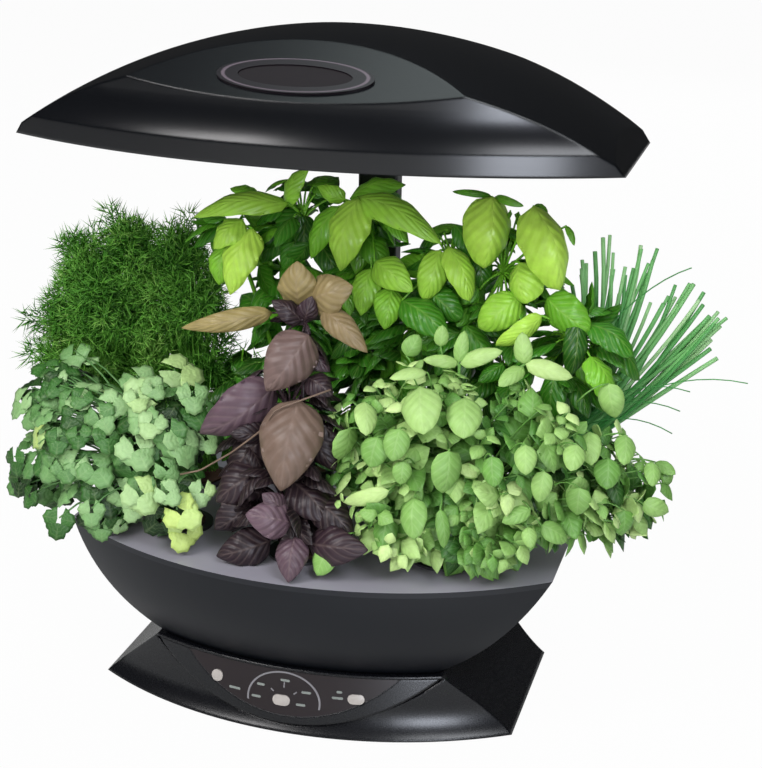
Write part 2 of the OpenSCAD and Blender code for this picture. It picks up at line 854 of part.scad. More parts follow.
module basket(i) {
  hollow_foot = basket_foot_d - 2 * basket_wall;
  hollow_top = basket_top_d - 2 * basket_wall;
  color(plastic_grey) translate([PODS[i][0], PODS[i][1], deck_top]) difference() {
    union() {
      cylinder(d = flange_d, h = flange_t, $fn = 72);
      translate([0, 0, -basket_h])
        cylinder(d1 = basket_foot_d, d2 = basket_top_d, h = basket_h + eps, $fn = 72);
    }
    translate([0, 0, basket_wall - basket_h])
      cylinder(d1 = hollow_foot, d2 = hollow_top, h = basket_h + flange_t, $fn = 72);
    // root slots
    for (k = [0:2]) rotate([0, 0, k * 60 + 30]) translate([0, 0, slot_up - basket_h])
      cube([far, slot_w, slot_h], center = true);
  }
}

module basket_1() { basket(0); }
module basket_2() { basket(1); }
module basket_3() { basket(2); }
module basket_4() { basket(3); }
module basket_5() { basket(4); }
module basket_6() { basket(5); }
module basket_7() { basket(6); }

module growing_sponges() {
  in_top = basket_top_d - 2 * basket_wall - 2 * sponge_gap;
  in_low = basket_foot_d - 2 * basket_wall - 2 * sponge_gap;
  color(foam_brown) for (p = PODS) translate([p[0], p[1], deck_top - basket_h + basket_wall])
    cylinder(d1 = in_low, d2 = in_top, h = sponge_top - deck_top + basket_h - basket_wall, $fn = 64);
}

// ---- plants: closed crowns on a stem, clear of each other ----

stem_d = 7;
root_r = 6;

// Stem from a pod to the point to, and balls [x, y, z, radius] that make the crown. The balls
// are turned a quarter, so that their seams don't run along a neighbour's cut.
module plant(pod, to, balls) {
  from = [PODS[pod][0], PODS[pod][1], soil_z + root_r];
  run = to - from;
  union() {
    translate(from) sphere(root_r, $fn = 48);
    translate(from) rotate([0, acos(run[2] / norm(run)), atan2(run[1], run[0])])
      cylinder(d = stem_d, h = norm(run), $fn = 48);
    for (b = balls) translate([b[0], b[1], b[2]]) rotate([0, 0, 90]) sphere(b[3], $fn = 64);
  }
}

module plant_dill() {
  color([0.20, 0.42, 0.14]) plant(3, [-132, 45, 240],
    [[-194, 45, 265, 56], [-232, 35, 250, 38], [-132, 45, 262, 38], [-178, 50, 312, 30], [-142, 45, 205, 36]]);
}

module plant_parsley() {
  color([0.36, 0.56, 0.30]) plant(0, [-106, -60, 180], [
    [-162, -50, 182, 48], [-206, -45, 151, 34], [-106, -60, 200, 43],
    [-203, -30, 202, 34], [-93, -85, 160, 32]
  ]);
}

module plant_purple_basil() {
  color([0.42, 0.33, 0.36]) plant(1, [-3, -80, 150],
    [[-1, -60, 292, 34], [-8, -70, 230, 38], [-3, -85, 168, 38]]);
}

module plant_mint() {
  color([0.50, 0.70, 0.38]) plant(2, [88, -58, 190], [
    [82, -60, 223, 50], [149, -55, 215, 52], [201, -20, 193, 38],
    [227, 0, 174, 27], [76, -85, 166, 34], [143, -75, 167, 30]
  ]);
}

module plant_green_basil() {
  color([0.54, 0.76, 0.24]) plant(4, [-38, 50, 320], [
    [-35, 30, 344, 44], [-87, 25, 332, 31], [15, 40, 346, 32],
    [-45, 48, 270, 41], [-46, 54, 210, 42], [-42, 56, 165, 32]
  ]);
}

module plant_large_basil() {
  color([0.50, 0.74, 0.22]) plant(5, [74, 30, 305], [
    [78, 25, 322, 30], [116, 8, 318, 48], [172, 12, 272, 38],
    [50, 46, 262, 40], [45, 52, 205, 38], [45, 56, 163, 30], [122, 22, 236, 29]
  ]);
}

// Fan of thin upright leaves, as one closed blade.
module plant_chives() {
  from = [PODS[6][0], PODS[6][1], soil_z + root_r];
  color([0.28, 0.58, 0.24]) union() {
    translate(from) sphere(root_r, $fn = 48);
    translate(from) rotate([-atan(25 / 62), 0, 0]) cylinder(d = stem_d, h = 66, $fn = 48);
    translate([0, 66, 0]) rotate([90, 0, 0]) linear_extrude(14)
      polygon([[108, 175], [160, 340], [205, 338], [276, 292], [288, 252], [150, 165]]);
  }
}

// ---- mast ----

module column_plan(w, d, r) {
  translate([0, mast_y]) {
    square([w, d - 2 * r], center = true);
    square([w - 2 * r, d], center = true);
    for (sx = [-1, 1], sy = [-1, 1])
      translate([sx * (w / 2 - r), sy * (d / 2 - r)]) circle(r, $fn = 40);
  }
}

// The release rocker: its finger end is pressed in below the pin, and the pad above the pin leaves the mast.
column_back = mast_y + col_d / 2;
housing_d = 10;
housing_up = 20;
housing_down = 26;
housing_wall = 2.5;
cheek_t = 3.7;
rocker_gap = 0.3;
housing_w = rocker_w + 2 * rocker_gap + 2 * cheek_t;
rocker_pin_d = 3;
rocker_pin_y = column_back + housing_d / 2;
release_z = column_top - housing_up - 10;
pad_gap = 0.2;
pad_t = 3;
pad_low = 4;
pad_high = 14;
pad_y = mast_y + mast_d / 2 + pad_gap;

module mast_column() {
  color(plastic_black) difference() {
    union() {
      translate([0, 0, column_low]) linear_extrude(column_top - column_low) column_plan(col_w, col_d, 3);
      translate([-housing_w / 2, column_back - 1, release_z - housing_down])
        cube([housing_w, housing_d + 1, housing_down + housing_up]);
    }
    translate([0, 0, column_low + 3]) linear_extrude(column_top) column_plan(bore_w, bore_d, 1.5);
    // window of the pad, well of the rocker and the pin's hole
    translate([-rocker_w / 2 - rocker_gap, column_back - column_wall - 1, release_z + pad_low - 2])
      cube([rocker_w + 2 * rocker_gap, column_wall + 2, pad_high - pad_low + 4]);
    translate([-rocker_w / 2 - rocker_gap, column_back, release_z - housing_down + housing_wall])
      cube([rocker_w + 2 * rocker_gap, far, housing_down + housing_up - 2 * housing_wall]);
    translate([0, rocker_pin_y, release_z]) rotate([0, 90, 0])
      cylinder(d = rocker_pin_d, h = far, center = true, $fn = 40);
  }
}

collar_h = 5;

module column_collar() {
  color(plastic_grey) translate([0, 0, column_top]) difference() {
    linear_extrude(collar_h) column_plan(col_w + 2, col_d + 2, 4);
    translate([0, 0, -1]) linear_extrude(collar_h + 2) column_plan(bore_w + 0.2, bore_d + 0.2, 1.5);
  }
}

module clamp_pad() {
  color(rubber_black) translate([1 - rocker_w / 2, pad_y, release_z + pad_low])
    cube([rocker_w - 2, pad_t, pad_high - pad_low]);
}

spring_d = 7;
spring_wire = 1;
spring_z = release_z - 15;
spring_len = housing_d / 2 + 2;

// Side view in Y and Z from the pin's axis, and the boss round the pin.
module release_rocker() {
  seat = pad_y + pad_t - rocker_pin_y;
  finger = housing_d / 2 + 2.5;
  inner = column_back + spring_len - rocker_pin_y;
  flush = housing_d / 2 - 0.8;
  color(plastic_grey) translate([0, rocker_pin_y, release_z]) rotate([90, 0, 90]) difference() {
    union() {
      cylinder(r = 4, h = rocker_w, center = true, $fn = 48);
      linear_extrude(rocker_w, center = true) polygon([
        [seat, pad_low], [seat, pad_high], [seat + 2, pad_high + 1.5], [flush - 1.5, pad_high + 1.5],
        [flush, pad_high - 1], [flush, -3], [finger, -14], [finger, -18],
        [finger - 2, -20], [inner, -20], [inner, -9], [-2.5, -2]
      ]);
    }
    cylinder(d = rocker_pin_d + 2 * running_gap, h = 2 * rocker_w, center = true, $fn = 48);
  }
}

module rocker_pin() {
  color(metal_bright) translate([0, rocker_pin_y, release_z]) rotate([0, 90, 0])
    cylinder(d = rocker_pin_d, h = housing_w - 1, center = true, $fn = 40);
}

// Tube of the spring's own outer and inner size.
module release_spring() {
  color(metal_bright) translate([0, column_back, spring_z]) rotate([-90, 0, 0])
    rotate_extrude($fn = 48) translate([spring_d / 2 - spring_wire, 0]) square([spring_wire, spring_len]);
}

mast_fit = 0.1;

module sliding_mast() {
  color(plastic_black) difference() {
    translate([0, 0, mast_low]) linear_extrude(mast_top - mast_low) column_plan(mast_w, mast_d, 2);
    translate([0, 0, mast_low - 1]) linear_extrude(mast_top - mast_low - 2)
      column_plan(mast_w - 2 * mast_wall, mast_d - 2 * mast_wall, 1);
  }
}

// ---- hood ----

// Everything under the hood's top, which is an arch along X and crowned from front to back.
module hood_top(inset = 0) {
  reach = crown_r - 2 * (arch_top - hood_rim);
  translate([0, 0, arch_top - crown_r]) rotate([0, 90, 0]) rotate_extrude($fn = 240) intersection() {
    translate([crown_r - arch_r, 0]) circle(arch_r - inset, $fn = 240);
    translate([reach, -far / 2]) square([far, far]);
  }
}

// The hood's outer form, drawn in all round by inset, from low upwards.
module hood_form(low, inset = 0) {
  slant_in = inset / cos(facet_slope);
  end_slope = end_lean / arch_end_rise;
  end_in = inset * sqrt(1 + end_slope * end_slope);
  top_x = hood_len / 2 - end_in - end_slope * (hood_rise + 20);
  foot_x = hood_len / 2 - end_in + end_slope * 2;
  side_y = hood_depth / 2 + 20;
  slant_fall = side_y * tan(facet_slope);
  lip = hood_rim + lip_h - low;
  intersection() {
    flared_boat(hood_depth, hood_r, cove_step, cove_h, cove_rad, low, arch_top + 5, lip, inset);
    hood_top(inset);
    through_y() polygon([
      [-foot_x, hood_rim - 2], [foot_x, hood_rim - 2], [top_x, arch_top + 20], [-top_x, arch_top + 20]
    ]);
    through_x() polygon([
      [-side_y, hood_rim - 2], [side_y, hood_rim - 2], [side_y, ridge_z - slant_in - slant_fall],
      [0, ridge_z - slant_in], [-side_y, ridge_z - slant_in - slant_fall]
    ]);
  }
}

module neck_block(low, high, w, d) {
  translate([-w / 2, mast_y - neck_d / 2 - 6, low]) cube([w, d + 6, high - low]);
}

module hood_shell() {
  color(plastic_black) difference() {
    union() {
      difference() {
        hood_form(hood_rim);
        hood_form(hood_rim - 1, hood_wall);
      }
      // neck that takes the mast
      difference() {
        neck_block(hood_rim, neck_top, neck_w, neck_d);
        hood_form(hood_rim - 1, hood_wall);
      }
      // posts of the lamp holder
      for (s = [-1, 1]) translate([s * holder_screw_x, holder_y, holder_top])
        cylinder(d = post_d, h = arch_top - hood_wall + 1 - holder_top - arch_drop(holder_screw_x), $fn = 32);
    }
    translate([0, 0, hood_rim - 1]) linear_extrude(mast_top - hood_rim + 1)
      column_plan(mast_w + 2 * mast_fit, mast_d + 2 * mast_fit, 2);
    for (s = [-1, 1]) translate([s * holder_screw_x, holder_y, holder_top - 1])
      cylinder(d = hood_screw_d, h = 11, $fn = 24);
  }
}

function arch_drop(x) = arch_r - sqrt(arch_r * arch_r - x * x);

holder_y = 0;
holder_top = hood_rim + 40;
holder_size = [76, 40, 34];
holder_screw_x = 20;
post_d = 8;
hood_screw_d = 2.6;
lamp_z = hood_rim + 18;
lamp_base = [34, 30, 20];
socket_deep = 10;
socket_gap = 0.3;
tube_gap = 15;

module lamp_holder() {
  color([0.88, 0.87, 0.83]) difference() {
    translate([0, holder_y, holder_top - holder_size[2] / 2]) cube(holder_size, center = true);
    for (s = [-1, 1]) translate([s * holder_size[0] / 2, holder_y, lamp_z])
      cube([2 * socket_deep, lamp_base[1] + 2 * socket_gap, lamp_base[2] + 2 * socket_gap], center = true);
    for (s = [-1, 1]) translate([s * holder_screw_x, holder_y, 0])
      cylinder(d = hood_screw_d + 0.6, h = far, $fn = 24);
  }
}

module hood_screws() {
  low = holder_top - holder_size[2];
  color(metal_bright) for (s = [-1, 1]) translate([s * holder_screw_x, holder_y, low]) {
    translate([0, 0, -1.8]) cylinder(d = 6, h = 1.8, $fn = 32);
    translate([0, 0, -eps]) cylinder(d = hood_screw_d - 0.1, h = holder_size[2] + 8, $fn = 24);
  }
}

// Plug-in lamp: a base block and one tube bent back on itself, pointing along +X.
module lamp() {
  start = holder_size[0] / 2 - socket_deep;
  bend = start + lamp_base[0] + tube_len;
  translate([start, -lamp_base[1] / 2, -lamp_base[2] / 2]) cube(lamp_base);
  for (s = [-1, 1]) translate([start + lamp_base[0] - eps, s * tube_gap / 2, 0]) rotate([0, 90, 0])
    cylinder(d = tube_d, h = tube_len + eps, $fn = 48);
  translate([bend, 0, 0]) rotate([0, 0, -90]) rotate_extrude(angle = 180, $fn = 64)
    translate([tube_gap / 2, 0]) circle(d = tube_d, $fn = 48);
}

module lamp_right() {
  color([0.96, 0.96, 0.93]) translate([0, holder_y, lamp_z]) lamp();
}

module lamp_left() {
  color([0.96, 0.96, 0.93]) translate([0, holder_y, lamp_z]) mirror([1, 0, 0]) lamp();
}

reflector_t = 1;
reflector_gap = 5;
reflector_half_x = 166;
reflector_half_y = 44;

// Bright arched sheet above the lamps, held on the holder's posts.
module lamp_reflector() {
  color([0.9, 0.9, 0.9]) difference() {
    intersection() {
      difference() {
        hood_top(hood_wall + reflector_gap);
        hood_top(hood_wall + reflector_gap + reflector_t);
      }
      translate([-reflector_half_x, -reflector_half_y, hood_rim])
        cube([2 * reflector_half_x, 2 * reflector_half_y, hood_rise]);
    }
    for (s = [-1, 1]) translate([s * holder_screw_x, holder_y, 0])
      cylinder(d = post_d + 0.1, h = far, $fn = 40);
  }
}

// Front facet's own frame: origin on the facet's middle line, +Z outward.
module on_facet(down) {
  translate([0, -crown_w / 2, arch_top]) rotate([facet_slope, 0, 0]) translate([0, -down, 0]) children();
}

module ellipse(len, wid) {
  scale([len / wid, 1]) circle(d = wid, $fn = 96);
}

ring_h = 1.6;
plate_h = 0.8;
plate_gap = 0.2;

module badge_ring() {
  color([0.28, 0.27, 0.30]) on_facet(badge_down) linear_extrude(ring_h) difference() {
    ellipse(badge_len, badge_wid);
    ellipse(plate_len + 2 * plate_gap, plate_wid + 2 * plate_gap);
  }
}

module badge_plate() {
  color([0.12, 0.09, 0.10]) on_facet(badge_down) linear_extrude(plate_h) ellipse(plate_len, plate_wid);
}

// ---- output ----

base_shell();
base_bottom_plate();
foot_ring();
base_screws();
cord_grommet();
power_supply();
pump_stator();
control_board();
dome_switches();
panel_bezel();
panel_face();
panel_arc_trim();
indicator_lights();
button_light();
button_select();
button_reset();
water_bowl();
pump_housing();
pump_impeller();
intake_strainer();
riser_pipe();
float_stem();
level_float();
planting_deck();
fill_door();
door_hinge_pin();
basket_1();
basket_2();
basket_3();
basket_4();
basket_5();
basket_6();
basket_7();
growing_sponges();
plant_dill();
plant_parsley();
plant_purple_basil();
plant_mint();
plant_green_basil();
plant_large_basil();
plant_chives();
mast_column();
column_collar();
release_rocker();
rocker_pin();
clamp_pad();
release_spring();
sliding_mast();
hood_shell();
hood_screws();
lamp_reflector();
lamp_holder();
lamp_left();
lamp_right();
badge_ring();
badge_plate();
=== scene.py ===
# Countertop hydroponic garden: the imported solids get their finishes, and the plants get their leaves.
import json
import math
import bpy
import numpy as np
from mathutils import Matrix, Vector


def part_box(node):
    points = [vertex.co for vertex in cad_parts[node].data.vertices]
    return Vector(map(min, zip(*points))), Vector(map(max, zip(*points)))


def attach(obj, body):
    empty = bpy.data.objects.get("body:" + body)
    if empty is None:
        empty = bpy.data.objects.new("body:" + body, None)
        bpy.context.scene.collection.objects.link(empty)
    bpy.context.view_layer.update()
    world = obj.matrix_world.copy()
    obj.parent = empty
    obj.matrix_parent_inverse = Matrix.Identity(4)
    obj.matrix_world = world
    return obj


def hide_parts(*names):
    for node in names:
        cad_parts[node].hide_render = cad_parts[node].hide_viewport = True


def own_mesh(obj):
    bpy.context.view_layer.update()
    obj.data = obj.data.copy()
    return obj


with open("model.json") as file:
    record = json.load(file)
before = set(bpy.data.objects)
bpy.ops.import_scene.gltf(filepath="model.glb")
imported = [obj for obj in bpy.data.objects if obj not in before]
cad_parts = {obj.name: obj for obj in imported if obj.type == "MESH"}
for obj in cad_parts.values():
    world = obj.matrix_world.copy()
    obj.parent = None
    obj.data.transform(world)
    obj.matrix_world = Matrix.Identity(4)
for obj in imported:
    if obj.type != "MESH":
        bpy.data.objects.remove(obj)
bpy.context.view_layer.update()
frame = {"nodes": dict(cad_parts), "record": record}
nodes = frame["nodes"]
mm = 0.001
print("stage: model loaded")

# Camera: a long lens, a little above the rim and to the right of the middle.
cameraSettings = {
    "azimuth": 15.45, "elevation": 19.11, "roll": 1.09,  # degrees
    "distance": 1200.1, "aimX": 35.65, "aimZ": 227.86,  # millimetres
    "lens": 77.55, "sensor": 36,
    "farMetres": 80,  # past the studio floor
}


def placeCamera(s):
    turn, lift, roll = (math.radians(s[k]) for k in ("azimuth", "elevation", "roll"))
    back = Vector((math.sin(turn) * math.cos(lift), -math.cos(turn) * math.cos(lift), math.sin(lift)))
    level = (-back).cross(Vector((0, 0, 1))).normalized()
    upright = level.cross(-back)
    right = math.cos(roll) * level + math.sin(roll) * upright
    top = -math.sin(roll) * level + math.cos(roll) * upright
    place = Vector((0, 0, s["aimZ"])) + level * s["aimX"] + back * s["distance"]
    lensData = bpy.data.cameras.new("camera")
    lensData.lens = s["lens"]
    lensData.sensor_width = s["sensor"]
    lensData.clip_end = s["farMetres"]
    camera = bpy.data.objects.new("camera", lensData)
    turned = Matrix((right, top, back)).transposed().to_4x4()
    camera.matrix_world = Matrix.Translation(place * mm) @ turned
    bpy.context.scene.collection.objects.link(camera)
    bpy.context.scene.camera = camera


placeCamera(cameraSettings)


# Finishes
def hexColour(text):
    # sRGB hex to linear red, green and blue
    parts = [int(text[i:i + 2], 16) / 255 for i in (1, 3, 5)]
    return [p / 12.92 if p <= 0.04045 else ((p + 0.055) / 1.055) ** 2.4 for p in parts] + [1.0]


def addNode(tree, kind, settings=None, **links):
    # one node: settings go to its properties or sockets by name, links to its inputs
    made = tree.nodes.new("ShaderNode" + kind)
    for key, value in (settings or {}).items():
        if isinstance(key, str) and hasattr(made, key) and key not in made.inputs:
            setattr(made, key, value)
        else:
            made.inputs[key].default_value = value
    for key, source in links.items():
        name = int(key[1:]) if key[0] == "i" and key[1:].isdigit() else key.replace("_", " ")
        tree.links.new(source, made.inputs[name])
    return made


def newFinish(name):
    finish = bpy.data.materials.new(name)
    finish.use_nodes = True
    tree = finish.node_tree
    shader = tree.nodes["Principled BSDF"]
    return finish, tree, shader


absIor = 1.53  # most of the moulded parts are ABS or close to it


def mouldedFinish(name, s):
    # colour drifts slowly between two near shades; a fine spark-eroded grain breaks up the gloss
    finish, tree, shader = newFinish(name)
    place = addNode(tree, "TexCoord").outputs["Object"]
    drift = addNode(tree, "TexNoise", {"Scale": 1 / (s["driftMm"] * mm), "Detail": 2.0}, Vector=place)
    mix = addNode(tree, "Mix", {"data_type": "RGBA", 6: hexColour(s["dark"]), 7: hexColour(s["light"])},
                  i0=drift.outputs["Fac"])
    tree.links.new(mix.outputs[2], shader.inputs["Base Color"])
    grain = addNode(tree, "TexNoise", {"Scale": 1 / (s["grainMm"] * mm), "Detail": 3.0}, Vector=place)
    spread = s.get("roughSpread", 0.05)
    rough = addNode(tree, "MapRange", {"To Min": s["rough"] - spread, "To Max": s["rough"] + spread},
                    Value=grain.outputs["Fac"])
    tree.links.new(rough.outputs["Result"], shader.inputs["Roughness"])
    bump = addNode(tree, "Bump", {"Strength": s["bump"], "Distance": 0.1 * mm}, Height=grain.outputs["Fac"])
    tree.links.new(bump.outputs["Normal"], shader.inputs["Normal"])
    if "roundMm" in s:
        # a moulded crease is never knife sharp: it catches a soft line of light
        crease = addNode(tree, "Bevel", {"samples": 8, "Radius": s["roundMm"] * mm})
        tree.links.new(crease.outputs["Normal"], bump.inputs["Normal"])
    shader.inputs["IOR"].default_value = s.get("ior", absIor)
    shader.inputs["Metallic"].default_value = s.get("metallic", 0.0)
    shader.inputs["Coat Weight"].default_value = s.get("coat", 0.0)
    shader.inputs["Coat Roughness"].default_value = 0.1
    return finish


# Grain sizes are drawn two to four times the real ones, so that they show at this distance.
finishes = {
    # injection-moulded ABS from a polished tool: black with a clear but soft reflection
    "hood_abs": dict(dark="#08090c", light="#0a0c10", driftMm=90, grainMm=0.7, rough=0.24, roughSpread=0.03,
                     bump=0.05, roundMm=2.6),
    "black_abs": dict(dark="#090a0d", light="#0c0d12", driftMm=80, grainMm=0.7, rough=0.27,
                      roughSpread=0.04, bump=0.04, roundMm=2.4),
    # the same resin from a blasted tool: an even dull black
    "black_abs_plain": dict(dark="#0e0e10", light="#131316", driftMm=40, grainMm=0.6, rough=0.5, bump=0.15),
    # ABS tinted blue-black, softly glossy: the bowl
    "bowl_abs": dict(dark="#080a10", light="#0b0e15", driftMm=110, grainMm=0.7, rough=0.4, roughSpread=0.03,
                     bump=0.06, ior=1.45),
    # the deck seen between the plants and the rim: dark grey ABS, drawn light mauve-grey as a painted
    # reflection of the light above
    "deck_abs": dict(dark="#95929d", light="#a3a0ab", driftMm=60, grainMm=0.8, rough=0.4, bump=0.1),
    # polypropylene and nylon, moulded without polish: dull, so the form shows more than the gloss
    "basket_plastic": dict(dark="#26262a", light="#303034", driftMm=20, grainMm=0.6, rough=0.5, bump=0.15),
    "grey_nylon": dict(dark="#6c6c6f", light="#78787b", driftMm=20, grainMm=0.6, rough=0.5, bump=0.1),
    "white_nylon": dict(dark="#d2d0c8", light="#dedcd4", driftMm=20, grainMm=0.6, rough=0.45, bump=0.1),
    # polycarbonate film over a dark print: flat and glassy
    "panel_film": dict(dark="#170f12", light="#1d1417", driftMm=40, grainMm=0.5, rough=0.35,
                       roughSpread=0.02, bump=0.02),
    # satin acrylic caps and windows: pale, with a small soft highlight
    "pale_button": dict(dark="#a39d99", light="#b3ada8", driftMm=6, grainMm=0.3, rough=0.35, bump=0.08),
    "pale_lens": dict(dark="#747a77", light="#858b87", driftMm=4, grainMm=0.3, rough=0.3, bump=0.05),
    # hot-stamped foil
    "silver_trim": dict(dark="#838186", light="#959398", driftMm=8, grainMm=0.3, rough=0.35, bump=0.05,
                        metallic=0.5),
    # the badge: a satin rim round a matt plate
    "badge_ring": dict(dark="#151015", light="#1a141a", driftMm=20, grainMm=0.4, rough=0.3,
                       roughSpread=0.03, bump=0.03),
    "badge_plate": dict(dark="#120c10", light="#170f14", driftMm=20, grainMm=0.4, rough=0.6, bump=0.05,
                        ior=1.4),
    # moulded rubber: hardly any gloss
    "black_rubber": dict(dark="#121212", light="#191919", driftMm=12, grainMm=0.5, rough=0.75,
                         roughSpread=0.06, bump=0.3),
    # zinc-plated steel: grey, uneven in its gloss
    "zinc_steel": dict(dark="#9a9a9c", light="#aeaeb0", driftMm=5, grainMm=0.3, rough=0.32,
                       roughSpread=0.08, bump=0.1, metallic=1.0, ior=1.5),
    # green solder mask
    "circuit_board": dict(dark="#174d2c", light="#1f5c36", driftMm=6, grainMm=0.3, rough=0.4, bump=0.1),
    # rolled aluminium: a blurred mirror
    "reflector_sheet": dict(dark="#c8c8ca", light="#d6d6d8", driftMm=30, grainMm=0.5, rough=0.25,
                            roughSpread=0.06, bump=0.1, metallic=1.0, ior=1.5),
    # phosphor inside a thin glass tube: white, with the glass's own gloss
    "lamp_glass": dict(dark="#dddbd2", light="#e6e4dc", driftMm=20, grainMm=0.5, rough=0.2,
                       roughSpread=0.03, bump=0.02, coat=0.6),
    # peat in a foam binder
    "peat_sponge": dict(dark="#2b1d13", light="#4a3424", driftMm=2.2, grainMm=1.1, rough=0.95,
                        roughSpread=0.04, bump=1.0),
}


def shadeAside(finish, side, share):
    # share, from 0 to 1 over the surface, keeps the finish's own colour; the rest takes the side colour
    tree = finish.node_tree
    socket = tree.nodes["Principled BSDF"].inputs["Base Color"]
    own = socket.links[0].from_socket
    mix = addNode(tree, "Mix", {"data_type": "RGBA", 6: hexColour(side)}, i0=share(tree), i7=own)
    tree.links.new(mix.outputs[2], socket)


def facesUp(tree):
    # 1 where the surface looks up, 0 on its side
    way = addNode(tree, "SeparateXYZ", Vector=addNode(tree, "NewGeometry").outputs["Normal"])
    share = addNode(tree, "MapRange", {"From Min": 0.4, "From Max": 0.7}, Value=way.outputs["Z"])
    return share.outputs["Result"]


# the badge ring's thin painted highlight line: its place, where 1 is the rim, and half its width, hard and
# with its soft edge
ringHighlight = {"out": 0.92, "hard": 0.014, "soft": 0.032}


def awayFromRingHighlight(tree):
    # the ring's oval measured from its middle, 1 at its rim; 0 on the painted highlight line and 1 away from
    # it
    low, high = (np.array(corner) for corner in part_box("badge_ring"))
    middle, half = (low + high) / 2, (high - low) / 2
    flattened = 1e6  # the height doesn't count
    place = addNode(tree, "Mapping", {"vector_type": "TEXTURE", "Location": (middle[0], middle[1], 0),
                                      "Scale": (half[0], half[1], flattened)},
                    Vector=addNode(tree, "TexCoord").outputs["Object"])
    oval = addNode(tree, "VectorMath", {"operation": "LENGTH"}, i0=place.outputs["Vector"])
    gap = addNode(tree, "Math", {"operation": "SUBTRACT", 1: ringHighlight["out"]}, i0=oval.outputs["Value"])
    off = addNode(tree, "Math", {"operation": "ABSOLUTE"}, i0=gap.outputs[0])
    share = addNode(tree, "MapRange", {"From Min": ringHighlight["hard"], "From Max": ringHighlight["soft"]},
                    Value=off.outputs[0])
    return share.outputs["Result"]


plantSlots = {"dill_leaf", "parsley_leaf", "purple_leaf", "mint_leaf", "basil_leaf", "chive_leaf"}
made = {name: mouldedFinish(name.replace("_", " "), s) for name, s in finishes.items()}
# painted reflection: the deck's top keeps the light grey, and its sides turn to the dark colour
shadeAside(made["deck_abs"], "#0e1018", facesUp)  # the deck's edge carries on the bowl's colour
# a thin pinkish-grey line near the badge ring's rim: a painted highlight
shadeAside(made["badge_ring"], "#5c515a", awayFromRingHighlight)
for part in frame["record"]["subparts"]:
    slotName = part["material_slot"]
    if slotName in plantSlots:
        continue
    data = nodes[part["node"]].data
    data.materials.clear()
    data.materials.append(made[slotName])
print("stage: finishes on the rigid parts")

leafIor = 1.42
# where a side vein starts in its wave and its strength, and the midrib's share of the half width
veinForm = {"from": 0.55, "strength": 0.6, "rib": 0.1}


def leafFinish(name, s):
    # blade colour from each leaf's tone, which in several plants also carries painted light and shade; veins
    # from its own length and width; a waxy sheen
    finish, tree, shader = newFinish(name)
    grid = addNode(tree, "UVMap", {"uv_map": "blade"}).outputs["UV"]
    axes = addNode(tree, "SeparateXYZ", Vector=grid)
    along, across = axes.outputs["X"], axes.outputs["Y"]
    tone = addNode(tree, "Attribute", {"attribute_name": "tone"}).outputs["Fac"]
    ramp = addNode(tree, "ValToRGB", Fac=tone)
    stops = s["tones"]
    ramp.color_ramp.elements[0].position = 0.0
    ramp.color_ramp.elements[0].color = hexColour(stops[0])
    ramp.color_ramp.elements[1].position = 1.0
    ramp.color_ramp.elements[1].color = hexColour(stops[-1])
    for i, text in enumerate(stops[1:-1]):
        ramp.color_ramp.elements.new((i + 1) / (len(stops) - 1)).color = hexColour(text)
    # veins: side veins leave the midrib at a slant and thin out towards the edge
    off = addNode(tree, "Math", {"operation": "ABSOLUTE"}, i0=across)
    slant = addNode(tree, "Math", {"operation": "MULTIPLY_ADD", 1: -s["veinLean"]},
                    i0=off.outputs[0], i2=along)
    waves = addNode(tree, "Math", {"operation": "MULTIPLY", 1: s["veins"] * math.tau}, i0=slant.outputs[0])
    wave = addNode(tree, "Math", {"operation": "COSINE"}, i0=waves.outputs[0])
    side = addNode(tree, "MapRange", {"From Min": veinForm["from"], "To Max": veinForm["strength"]},
                   Value=wave.outputs[0])
    rib = addNode(tree, "MapRange", {"From Min": veinForm["rib"], "From Max": 0.0}, Value=off.outputs[0])
    vein = addNode(tree, "Math", {"operation": "MAXIMUM"}, i0=side.outputs[0], i1=rib.outputs[0])
    veined = addNode(tree, "Math", {"operation": "MULTIPLY", 1: s["veinShow"]}, i0=vein.outputs[0])
    blade = addNode(tree, "Mix", {"data_type": "RGBA", 7: hexColour(s["veinColour"])},
                    i0=veined.outputs[0], i6=ramp.outputs["Color"])
    place = addNode(tree, "TexCoord").outputs["Object"]
    mottle = addNode(tree, "TexNoise", {"Scale": 1 / (s["mottleMm"] * mm), "Detail": 2.0}, Vector=place)
    shift = addNode(tree, "MapRange", {"To Min": 1 - s["mottle"], "To Max": 1 + s["mottle"]},
                    Value=mottle.outputs["Fac"])
    shade = addNode(tree, "HueSaturation", Value=shift.outputs["Result"], Color=blade.outputs[2])
    tree.links.new(shade.outputs["Color"], shader.inputs["Base Color"])
    shader.inputs["Roughness"].default_value = s["rough"]
    shader.inputs["IOR"].default_value = leafIor
    if not s["relief"]:
        return finish
    # the blade swells between the veins
    bump = addNode(tree, "Bump", {"Strength": s["relief"], "Distance": 1.2 * mm, "invert": True},
                   Height=wave.outputs[0])
    ribbed = addNode(tree, "Bump", {"Strength": s["relief"], "Distance": 0.6 * mm, "invert": True},
                     Height=rib.outputs[0], Normal=bump.outputs["Normal"])
    tree.links.new(ribbed.outputs["Normal"], shader.inputs["Normal"])
    return finish


